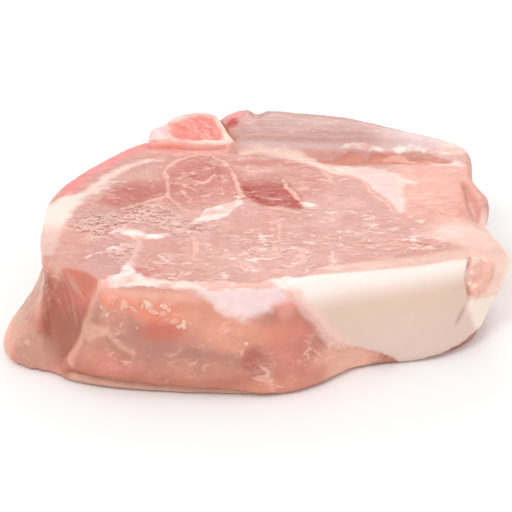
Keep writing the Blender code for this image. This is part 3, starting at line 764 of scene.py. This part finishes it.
# painted light on the left wall's upper part, lit from above, and painted shade in a band across its hollow middle
paint(leftWall * smooth(19, 29, z), "wallRed", 0.9)
paint(leftWall * band(z, 5, 20, 4) * smooth(16.9, 17.4, around), "wallDark", 0.9)
paint(leftWall * (1 - smooth(2, 6, z)), "wallPink", 0.8)
paint(fibreZone * smooth(0.35, 1.0, fibres), "lobeEdge", 0.35)
paint(smooth(-0.6, 0.5, fibreField), "lobeEdge", 0.45)
paint(smooth(-1.7, 1.5, softField) * (1 - underside), "softFat", 0.95)
paint(smooth(-1.0, 1.6, patchField) * onTop, "softFat", 0.95)
paint(smooth(0.4, 2.6, patchField) * onTop * smooth(31, 37, x), "patchWhite", 0.9)
belowBone = smooth(-1.2, 1.4, areaField(driftFine, faceAreas["belowBone"])) * onTop
paint(belowBone, "belowBone", 0.9)
# painted shadow: a reddish line on the face along the bone's front
paint(smooth(-0.8, 0.3, strandField(driftFine, [(-27, 42.3, 0.3), (-20, 42.3, 0.8), (-12, 41.5, 0.4)])), "underBoneShadow", 0.8)
tissue = blob(drift, (-6.5, 62), (6.5, 9), 0.4) * (1 - smooth(4.6, 6, down))
paint(tissue, "tissue", 0.85)
paint(blob(drift, (-9.5, 66), (5.5, 3.5), 0.4) * (1 - smooth(4.6, 5.6, down)), "tissuePink", 0.9)
paint(blob(driftFine, (-9.3, 57.5), (2.2, 4.0), 0.4) * onTop, "blood", 0.95)
paint(smooth(-1.6, 2.4, areaField(drift, faceAreas["rimWhite"]) + 1.2 * softNoise(points, 3.0, 28)) * (down < 4.6)
      * (0.4 + 0.6 * smooth(-30, -14, y)), "rimWhite", 0.95)
lobePlaces = lobeSide + leftWall
# the lobe patches, among them painted shade in the hollow of the left wall
for middleX, middleZ, radiusX, radiusZ, colour, strength in lobePatches:
    paint(blob(wallPlaces, (middleX, middleZ), (radiusX, radiusZ), 0.6) * lobePlaces, colour, strength)
paint(flapWall, "flapMid")
# painted light: the flap wall's upper part lighter and more orange, where light glows through it; painted shade: darker
# towards the bottom
paint(flapWall * smooth(24, 31, wallZ), "flapTop", 0.6)
paint(flapWall * (1 - smooth(6, 13, wallZ)), "flapLow", 0.7)
# the flap's patches, among them painted light and painted shade
for middleX, middleZ, radiusX, radiusZ, colour, strength in wallPatches:
    paint(blob(wallPlaces, (middleX, middleZ), (radiusX, radiusZ), 0.5) * flapWall, colour, strength)
paint(flapWall * smooth(0.15, 0.6, layeredNoise(points, (6, 6, 3.5), 65)), "flapTan", 0.35)
paint(flapWall * ledgeZone * (1 - smooth(-0.5, 0.2, overLedge)), "ledge", 0.9)
# painted shade in the gap under the flap's lower edge
paint(flapWall * ledgeZone * band(overLedge, -0.9, 0.5, 0.4), "flapDark", 0.9)
paint(flapWall * smooth(28.5, 32.5, wallZ) * (x < -4), "flapPale", 0.6)
# pale along the front wall's strands: along the flap's fold edge this is a painted highlight, along the others their
# own paler colour
paint(smooth(-0.9, 0.6, frontField), "edgePale", 0.6)
paint(membrane, "membrane", 0.92)
paint(rightLobe, "rightLobe", 0.95)
paint(rightLobe * smooth(79, 84, x + wander[:, 0]), "rightEdge", 0.9)
paint(ragged, "raggedPale", 0.9)
paint(ragged * smooth(-0.4, 0.1, softNoise(points, 1.7, 51) + 0.35 * smooth(69, 74, x)), "ragged", 0.9)
paint(raggedCut, "raggedCut", 0.85)
paint(smooth(-1.0, 0.5, slit) * (down < 5.5), "slit", 0.9)
paint(isCap, "fat")
# painted shade on the fat cap, darker towards the bottom, and a painted highlight along its rounded top
paint(isCap * (1 - smooth(6, 26, z)), "fatShade", 0.8)
paint(isCap * smooth(20, 31.5, z) ** 1.8, "fatTopHighlight", 0.95)
paint(band(capField, -4.6, 0.2, 1.2) * (down < 4) * smooth(14, 26, x), "rightLobe", 0.6)
paint(band(capField, -2.2, 2.4, 1.2) * (x < 40) * onFront * smooth(8, 14, z), "fatPink", 0.75)
paint(isCap * smooth(-0.3, 0.5, crease) * (y < -30), "slit", 0.35)
paint(isCap * smooth(66, 69, x + 0.35 * (z - 17)) * (1 - smooth(16.5, 18.5, z)), "strip", 0.9)
# painted shadow under the fat cap's lower edge
paint(capGap, "underCapShadow", 0.9)

# where the painted wet highlights and the painted shade beside them go
flecky = onTop * (1 - slab) * (1 - slot) * (1 - isCap) * (1 - 0.45 * wedge)
flecky = flecky * np.clip(0.22 + fleckZone + 0.2 * layeredNoise(points, 9.0, 71), 0, 1)
flecky = np.clip(flecky + 0.3 * flapWall * smooth(0.0, 0.5, layeredNoise(points, 9.0, 72)), 0, 1)
flecky = np.maximum(flecky, clusters(wallPlaces, wallFlecks) * (flapWall + lobePlaces).clip(0, 1))
fatWarm = 0.8 * blob(drift, (-39.5, -39), (6, 10), 0.4) + 0.45 * blob(drift, (-24, -59), (34, 5), 0.4) + 0.6 * blob(drift, (10, -36), (20, 16), 0.4)
fatWarm = np.clip(fatWarm + 0.8 * smooth(-0.1, 0.5, softNoise(points, (12, 1.3, 2.0), 73)) * smooth(-33, -28, x), 0, 1)
fleshPiece = makePiece("chop_flesh", skin, faces, {
    "tone": tone, "fatField": np.clip(fatField, -5, 5), "seamField": np.clip(seamField, -3, 3),
    "flecky": flecky, "crinkly": crinkleZone, "capSide": isCap, "fatWarm": fatWarm,
    "wallSide": np.clip(onWall + underside, 0, 1),
})
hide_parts("lean_meat", "fat_cap")
print("stage: skin has", len(faces), "faces")


print("stage: bone end and small pieces")

# the sawn bone: its outline seen from above, and a sawn face that slopes down to the front
def closedLine(corners, steps):
    # a smooth closed line through the corners
    around = np.linspace(0, len(corners), steps, endpoint=False)
    start = np.floor(around).astype(int)
    control = through(np.array(corners, float))
    weights = splineWeights(around - start)
    return sum(weights[b][:, None] * control[(start + b - 1) % len(corners)] for b in range(4))


def boneSurface(design):
    # rings shaped like the outline: up the side, over a rounded edge, then in across the sawn
    # face to its middle; inward counts 0 to 1 across that face
    line = closedLine(design["outline"], design["columns"])
    middle = line.mean(axis=0)
    edge = design["edge"]
    bend = np.linspace(0, math.pi / 2, design["edgeRows"] + 1)[1:]
    climb = np.linspace(0, 1, design["wallRows"] + 1)
    across = np.linspace(0, 1, design["topRows"] + 1)[1:-1]
    halfWidth = np.linalg.norm(line - middle, axis=1).min()
    wallShare = design["floorShare"] + (1 - design["floorShare"]) * climb
    edgeShare = 1 - edge * (1 - np.cos(bend)) / halfWidth
    share = np.concatenate([wallShare, edgeShare, edgeShare[-1] * (1 - across)])
    raised = np.concatenate([climb, np.ones(len(bend) + len(across))])
    beyond = np.concatenate([np.zeros(len(climb)), edge * np.sin(bend), np.full(len(across), edge)])
    flatRows = middle + share[:, None, None] * (line - middle)
    frontY, frontZ = design["frontTop"]
    topZ = frontZ + design["rise"] * (flatRows[..., 1] - frontY)
    height = raised[:, None] * (topZ - edge) + beyond[:, None]
    rows = np.concatenate([flatRows, height[..., None]], axis=-1)
    middleTop = frontZ + design["rise"] * (middle[1] - frontY)
    spots = np.vstack([rows.reshape(-1, 3), [[*middle, middleTop]], [[*middle, 0.0]]])
    index = np.arange(rows.shape[0] * rows.shape[1]).reshape(rows.shape[:2])
    after = np.roll(index, -1, axis=1)
    inward = np.concatenate([np.zeros(len(climb) + len(bend)), across])
    inward = np.concatenate([np.repeat(inward, len(line)), [1.0, 0.0]])
    return spots, index, after, inward


bonePoints, boneIndex, boneAfter, inward = boneSurface(boneEnd)
boneLast = len(bonePoints) - 1
boneFan = [np.stack([boneIndex[-1], boneAfter[-1], np.full(len(boneIndex[-1]), boneLast - 1)], axis=-1),
           np.stack([boneAfter[0], boneIndex[0], np.full(len(boneIndex[0]), boneLast)], axis=-1)]
boneFaces = gridFaces(boneIndex)[:, ::-1].tolist() + boneFan[0].tolist() + boneFan[1].tolist()
boneNormals = pointNormals(bonePoints, boneFaces)
if (boneNormals[:, 2] * (bonePoints[:, 2] > 30)).sum() < 0:
    boneFaces = [each[::-1] for each in boneFaces]
    boneNormals = -boneNormals
boneWander = np.column_stack([layeredNoise(bonePoints, 6.0, seed) for seed in (81, 82)]) * 1.1
boneDrift = bonePoints[:, :2] + boneWander
face = smooth(0.0, 0.05, inward)
boneCore = smooth(-1.6, 1.8, areaField(boneDrift, boneEnd["core"])) * face
boneRelief = 0.45 * layeredNoise(bonePoints, 8.0, 83) + 0.14 * layeredNoise(bonePoints, 2.2, 84) - 0.3
boneRelief += -boneEnd["hollow"] * boneCore
boneRelief *= smooth(0.0, 1.5, bonePoints[:, 2])
bone = bonePoints + boneNormals * boneRelief[:, None]
boneTone = np.tile(srgb(boneEnd["colours"]["rim"]), (len(bone), 1))
boneX, boneY = boneDrift.T
speckle = smooth(0.25, 0.5, softNoise(bonePoints, (1.9, 3, 1.2), 86))
nearTop = smooth(-6.0, -2.5, bonePoints[:, 2] - 36.6)
for mask, key in (
        (1 - face, "side"),
        ((1 - nearTop) * smooth(-0.1, 0.5, layeredNoise(bonePoints, (6, 6, 12), 87)), "cream"),
        ((1 - nearTop) * smooth(0.0, 0.5, layeredNoise(bonePoints, (4, 4, 9), 88)), "stain"),
        (blob(boneDrift, (-31, 52), (5.5, 8)) * nearTop, "half"),
        (blob(boneDrift, (-38, 49.5), (5.0, 7)) * nearTop, "bluish"),
        (blob(boneDrift, (-22, 66), (12, 4.0)) * nearTop, "pinkTop"),
        (boneCore, "centre"),
        (smooth(-0.6, 1.0, strandField(boneDrift, [(-15.6, 63, 0.8), (-12.6, 55, 1.2), (-10.6, 47, 1.0)])) * face, "cream"),
        (smooth(-0.8, 0.8, strandField(boneDrift, [(-25, 43.9, 0.8), (-17, 44, 1.3), (-10, 44.2, 1.0)])), "band"),
        (blob(boneDrift, (-33, 43.5), (9, 2.2), 0.5), "front"),
        (blob(boneDrift, (-35.5, 43.8), (4.2, 1.5), 0.4) * speckle, "speck")):
    mask = np.clip(mask, 0, 1)[:, None]
    boneTone = boneTone * (1 - mask) + srgb(boneEnd["colours"][key]) * mask
bonePiece = makePiece("bone_end_detailed", bone, boneFaces, {"tone": boneTone})
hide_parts("bone_end")

# under the bone the skin's floor sits a little higher, so that the two floors don't share a plane
underneath = blob(skin[:, :2], (-23.5, 55), (19, 14), 0.05) * (down > 8.95)
lifted = skin.copy()
lifted[:, 2] += 0.4 * underneath
fleshPiece.data.vertices.foreach_set("co", (lifted * mm).ravel())
fleshPiece.data.update()

scraps = {
    "places": [(-40.6, 28.6, 1.3, 1.7, 0.6, 10), (-37.2, 26.8, 1.8, 0.6, 0.6, -35), (-33.4, 29.0, 1.0, 1.7, 0.7, 35),
               (-31.8, 27.4, 2.0, 0.7, 0.8, -28), (-29.2, 26.4, 1.2, 1.0, 0.7, 30), (-28.2, 28.9, 1.4, 0.7, 0.7, -12),
               (-27.0, 27.6, 0.9, 0.8, 0.6, 0), (-25.0, 24.6, 1.5, 0.9, 0.5, 15), (-22.6, 23.6, 1.2, 1.1, 0.5, 60),
               (-23.9, 22.9, 0.9, 0.7, 0.4, 20), (-4.6, 15.8, 0.8, 1.3, 0.4, 10), (-3.6, 17.6, 0.7, 0.9, 0.4, 50),
               (-37.0, 21.8, 0.5, 0.5, 0.3, 0), (-44.2, 28.4, 0.8, 0.5, 0.4, 60), (-46.0, 24.4, 0.5, 0.9, 0.4, 15),
               (-35.2, 28.6, 0.6, 1.1, 0.5, -20), (-20.4, 24.2, 0.9, 0.6, 0.4, -30)],
    "columns": 28, "rows": 14, "sink": 0.35, "swell": 1.25, "colours": ("#f0ae97", "#eaa08a", "#f2bda8"),
}


def skinSpot(spotX, spotZ):
    # the front wall's point nearest to an x and a height, with its normal
    front = (y < -30) & (down > 3.9) & (down < 8)
    gap = np.where(front, np.hypot(skin[:, 0] - spotX, skin[:, 2] - spotZ), 1e9)
    return skin[np.argmin(gap)], normals[np.argmin(gap)]


def pebbles(design):
    # flattened lumps laid on the front wall, each a wobbly ball squashed along the wall's normal
    lon = np.linspace(0, 2 * math.pi, design["columns"], endpoint=False)
    lat = np.linspace(0, math.pi, design["rows"] + 1)[1:-1]
    ball = np.stack([np.outer(np.sin(lat), np.cos(lon)), np.outer(np.sin(lat), np.sin(lon)),
                     np.broadcast_to(np.cos(lat)[:, None], (len(lat), len(lon)))], axis=-1).reshape(-1, 3)
    ball = np.vstack([ball, [[0, 0, 1], [0, 0, -1]]])
    index = np.arange(len(lat) * len(lon)).reshape(len(lat), len(lon))
    after = np.roll(index, -1, axis=1)
    quads = gridFaces(index)
    topFan = np.stack([index[0], after[0], np.full(len(lon), len(ball) - 2)], axis=-1)
    baseFan = np.stack([after[-1], index[-1], np.full(len(lon), len(ball) - 1)], axis=-1)
    faces = quads.tolist() + topFan.tolist() + baseFan.tolist()
    spots, allFaces, tones = [], [], []
    for number, (spotX, spotZ, length, width, height, turn) in enumerate(design["places"]):
        place, normal = skinSpot(spotX, spotZ)
        side = np.cross([0, 0, 1.0], normal)
        side /= np.linalg.norm(side)
        rise = np.cross(normal, side)
        turn = math.radians(turn)
        along = side * math.cos(turn) + rise * math.sin(turn)
        across = np.cross(normal, along)
        wobble = 1 + 0.5 * layeredNoise(ball * 3 + number * 7, 2.0, 91, 2)[:, None]
        lump = ball * wobble * np.array([length, width, height]) * design["swell"]
        lump = lump @ np.stack([along, across, normal]) + place - normal * design["sink"]
        allFaces += [[corner + number * len(ball) for corner in quad] for quad in faces]
        spots.append(lump)
        tones.append(np.tile(srgb(design["colours"][number % 3]), (len(ball), 1)))
    return np.vstack(spots), allFaces, np.vstack(tones)


scrapPoints, scrapFaces, scrapTone = pebbles(scraps)
scrapPiece = makePiece("flap_scraps", scrapPoints, scrapFaces, {"tone": scrapTone})


print("stage: materials")


class Wire:
    # a shader socket to reckon with: operators add Math nodes, and node adds any other

    def __init__(self, tree, socket=None):
        self.tree = tree
        self.socket = socket

    def node(self, kind, settings=None, inputs=None, output=0):
        made = self.tree.nodes.new(kind)
        for key, value in (settings or {}).items():
            setattr(made, key, value)
        for key, value in (inputs or {}).items():
            if isinstance(value, Wire):
                self.tree.links.new(value.socket, made.inputs[key])
            else:
                made.inputs[key].default_value = value
        return Wire(self.tree, made.outputs[output])

    def maths(self, operation, *others):
        return self.node("ShaderNodeMath", {"operation": operation}, dict(enumerate((self, *others))))

    def __add__(self, other):
        return self.maths("ADD", other)

    def __radd__(self, other):
        return self.maths("ADD", other)

    def __sub__(self, other):
        return self.maths("SUBTRACT", other)

    def __rsub__(self, other):
        return self.node("ShaderNodeMath", {"operation": "SUBTRACT"}, {0: other, 1: self})

    def __mul__(self, other):
        return self.maths("MULTIPLY", other)

    def __rmul__(self, other):
        return self.maths("MULTIPLY", other)

    def attribute(self, name, output="Fac"):
        return self.node("ShaderNodeAttribute", {"attribute_name": name}, output=output)

    def step(self, low, high):
        # eases from 0 at low to 1 at high
        return self.node("ShaderNodeMapRange", {"interpolation_type": "SMOOTHSTEP"},
                         {"Value": self, "From Min": low, "From Max": high})

    def noise(self, size, detail=2.0, stretch=(1, 1, 1), distortion=0.0, lower=0.0):
        # a soft pattern with spots of the given size in millimetres; lower moves it frontward
        place = self.node("ShaderNodeTexCoord", output="Object")
        place = self.node("ShaderNodeMapping", None,
                          {"Vector": place, "Location": (0, lower * mm / stretch[1], 0),
                           "Scale": tuple(1 / each for each in stretch)})
        return self.node("ShaderNodeTexNoise", None,
                         {"Vector": place, "Scale": 1000 / size, "Detail": detail, "Roughness": 0.55,
                          "Distortion": distortion}) - 0.5

    def blend(self, factor, over):
        # this colour with another laid over it by a factor from 0 to 1
        return self.node("ShaderNodeMix", {"data_type": "RGBA"}, {0: factor, 6: self, 7: over}, output=2)

    def tint(self, factor, code):
        # this colour multiplied by another, by a factor from 0 to 1
        return self.node("ShaderNodeMix", {"data_type": "RGBA", "blend_type": "MULTIPLY"},
                         {0: factor, 6: self, 7: colour(code)}, output=2)

    def lighten(self, amount):
        # this colour times a number
        return self.node("ShaderNodeVectorMath", {"operation": "SCALE"}, {0: self, "Scale": amount})


def colour(code):
    return (*srgb(code), 1.0)


def finishMaterial(tree, base, roughness, height, constants, bump):
    shader = tree.nodes.new("ShaderNodeBsdfPrincipled")
    output = tree.nodes.new("ShaderNodeOutputMaterial")
    bumpNode = tree.nodes.new("ShaderNodeBump")
    bumpNode.inputs["Strength"].default_value = bump[0]
    bumpNode.inputs["Distance"].default_value = bump[1] * mm
    tree.links.new(height.socket, bumpNode.inputs["Height"])
    tree.links.new(bumpNode.outputs[0], shader.inputs["Normal"])
    tree.links.new(base.socket, shader.inputs["Base Color"])
    tree.links.new(roughness.socket, shader.inputs["Roughness"])
    tree.links.new(shader.outputs[0], output.inputs["Surface"])
    for key, value in constants.items():
        shader.inputs[key].default_value = value


def newTree(piece, name):
    material = bpy.data.materials.new(name)
    material.use_nodes = True
    material.node_tree.nodes.clear()
    piece.data.materials.append(material)
    return material.node_tree


# the colours of the painted wet highlights (fleck) and of the painted shade beside them are among these
fleshLook = {
    "fleck": "#ffe0d4", "curlShadow": "#cb7b6c", "fatLight": "#fff5ee", "fatDeep": "#ecbaae",
    "seam": "#f2bba9", "roughness": 0.38, "wetRoughness": 0.22,
}


def thinLine(pattern, low, high):
    # 1 along the line where a pattern crosses its middle, easing to 0 from low to high beside it
    return 1 - pattern.maths("ABSOLUTE").step(low, high)


def fleshMaterial(piece, look):
    # the painted tone, gently mottled; in clusters, thin pale curls and pale flecks as painted wet highlights, with
    # painted shade along one side of the curls and flecks; then tissue seams and fat whose edges fray
    tree = newTree(piece, "raw_flesh")
    wire = Wire(tree)
    tone = wire.attribute("tone", "Color")
    flecky = wire.attribute("flecky")
    crinkly = wire.attribute("crinkly")
    fatField = wire.attribute("fatField")
    seamField = wire.attribute("seamField")
    fatWarm = wire.attribute("fatWarm")
    cap = wire.attribute("capSide")
    wall = wire.attribute("wallSide")

    mottle = wire.noise(6.0, 3.0)
    fine = wire.noise(1.3, 3.0)
    curl = wire.noise(4.6, 2.0, (1.7, 1.0, 1.0), distortion=0.9)
    curlShade = wire.noise(4.6, 2.0, (1.7, 1.0, 1.0), distortion=0.9, lower=1.1)
    curlFine = wire.noise(3.1, 1.5, (1.8, 1.0, 1.0), distortion=0.8)
    fineShade = wire.noise(3.1, 1.5, (1.8, 1.0, 1.0), distortion=0.8, lower=0.9)
    spots = wire.noise(2.6, 2.0, (1.7, 1.0, 1.0), distortion=0.4)
    spotShade = wire.noise(2.6, 2.0, (1.7, 1.0, 1.0), distortion=0.4, lower=0.8)
    patches = wire.noise(6.0, 1.0)
    lean = 1 - cap

    base = tone.lighten(1 + mottle * 0.26 * lean + fine * 0.1 * lean + mottle * 0.04)
    broken = patches.step(-0.1, 0.04)
    zone = (crinkly * 1.1 + flecky * 0.35).maths("MINIMUM", 1.0)
    # painted shade along one side of the curls and flecks
    shadeLines = thinLine(curlShade, 0.03, 0.075) * broken * zone
    shadeLines = shadeLines.maths("MAXIMUM", thinLine(fineShade, 0.025, 0.06) * crinkly)
    shadeLines = shadeLines.maths("MAXIMUM", spotShade.step(0.09, 0.16) * flecky * 0.5)
    base = base.tint(shadeLines * (crinkly * 0.35 + 0.35) * lean, look["curlShadow"])
    # painted wet highlights: pale curl lines and flecks
    light = thinLine(curl, 0.025, 0.07) * broken * zone
    light = light.maths("MAXIMUM", thinLine(curlFine, 0.02, 0.055) * crinkly)
    light = light.maths("MAXIMUM", spots.step(0.07, 0.13) * flecky)
    base = base.blend(light * (0.8 - crinkly * 0.22), colour(look["fleck"]))

    frayed = fatField + mottle * 1.3 + fine * 1.2
    fat = frayed.step(-0.55, 0.75) * lean
    fatTone = (wire.noise(7.0, 2.0).step(-0.22, 0.1) - fatWarm * 0.8).maths("MAXIMUM", 0.0)
    fatColour = wire.node("ShaderNodeMix", {"data_type": "RGBA"},
                          {0: fatTone, 6: colour(look["fatDeep"]), 7: colour(look["fatLight"])}, output=2)
    base = base.blend(fat * 0.95, fatColour)
    seam = (seamField + fine * 1.3 + mottle * 0.7).step(-0.35, 0.4) * (1 - wall)
    base = base.blend(seam * 0.75, colour(look["seam"]))

    wet = (spots * 0.7 + mottle * 0.7).step(-0.05, 0.2)
    roughness = look["roughness"] - wet * (look["roughness"] - look["wetRoughness"]) + fat * 0.12 + cap * 0.08
    height = light * 0.25 - shadeLines * 0.2 * lean + spots * 0.15 * lean + mottle * 0.5 + fine * 0.15
    finishMaterial(tree, base, roughness, height, {
        "Subsurface Weight": 0.2, "Subsurface Radius": (1.0, 0.4, 0.3), "Subsurface Scale": 0.0012,
        "Specular IOR Level": 0.1, "Specular Tint": (1.0, 0.84, 0.78, 1.0), "Coat Weight": 0.06, "Coat Roughness": 0.2,
    }, (0.7, 1.0))


def plainFleshMaterial(piece, name, roughLevel, mottling, weight):
    tree = newTree(piece, name)
    wire = Wire(tree)
    tone = wire.attribute("tone", "Color")
    mottle = wire.noise(3.2, 3.0)
    fine = wire.noise(0.8, 3.0)
    base = tone.lighten(1 + mottle * mottling + fine * mottling * 0.7)
    finishMaterial(tree, base, roughLevel + mottle * 0.2, mottle * 0.6 + fine * 0.5, {
        "Subsurface Weight": weight, "Subsurface Radius": (1.0, 0.4, 0.3), "Subsurface Scale": 0.003,
        "Coat Weight": 0.2, "Coat Roughness": 0.15,
    }, (0.4, 0.8))


fleshMaterial(fleshPiece, fleshLook)
plainFleshMaterial(bonePiece, "bone_face", 0.4, 0.14, 0.3)
plainFleshMaterial(scrapPiece, "scrap_fat", 0.38, 0.16, 0.3)

print("stage: floor, light and camera")

studio = {
    "floorSize": 8.0, "floorColour": (0.95, 0.95, 0.95, 1), "worldStrength": 0.9,
    "lamps": {"front": (1.5, 0.25, (-0.28, -0.42, 0.62)), "rear": (1.1, 0.3, (0.1, 0.75, 0.45))},
    "lens": 102.3, "target": (-0.0003, -0.00765, 0.0162), "elevation": 28.0, "distance": 0.5,
}


def makeFloor():
    half = studio["floorSize"] / 2
    mesh = bpy.data.meshes.new("floor")
    mesh.from_pydata([(-half, -half, -0.00005), (half, -half, -0.00005),
                      (half, half, -0.00005), (-half, half, -0.00005)], [], [(0, 1, 2, 3)])
    floor = bpy.data.objects.new("floor", mesh)
    bpy.context.scene.collection.objects.link(floor)
    material = bpy.data.materials.new("floor")
    material.use_nodes = True
    shader = material.node_tree.nodes["Principled BSDF"]
    shader.inputs["Base Color"].default_value = studio["floorColour"]
    shader.inputs["Roughness"].default_value = 0.6
    shader.inputs["Specular IOR Level"].default_value = 0.2
    mesh.materials.append(material)


def aimed(thing, target):
    away = np.array(thing.location) - np.array(target)
    flatAway = math.hypot(away[0], away[1])
    thing.rotation_euler = (math.atan2(flatAway, away[2]), 0, math.atan2(away[0], -away[1]))


def makeLights():
    world = bpy.data.worlds.new("studio")
    bpy.context.scene.world = world
    world.use_nodes = True
    background = world.node_tree.nodes["Background"]
    background.inputs["Color"].default_value = (1, 1, 1, 1)
    background.inputs["Strength"].default_value = studio["worldStrength"]
    for name, (power, size, place) in studio["lamps"].items():
        light = bpy.data.lights.new(name, "AREA")
        light.energy = power
        light.size = size
        lamp = bpy.data.objects.new(name, light)
        lamp.location = place
        aimed(lamp, studio["target"])
        bpy.context.scene.collection.objects.link(lamp)


def makeCamera():
    view = bpy.data.cameras.new("camera")
    view.lens = studio["lens"]
    view.sensor_width = 36.0
    view.clip_start = 0.01
    camera = bpy.data.objects.new("camera", view)
    rise = math.radians(studio["elevation"])
    away = np.array([0, -math.cos(rise), math.sin(rise)]) * studio["distance"]
    camera.location = np.array(studio["target"]) + away
    aimed(camera, studio["target"])
    bpy.context.scene.collection.objects.link(camera)
    bpy.context.scene.camera = camera


makeFloor()
makeLights()
makeCamera()
bpy.context.scene.view_settings.view_transform = "Standard"
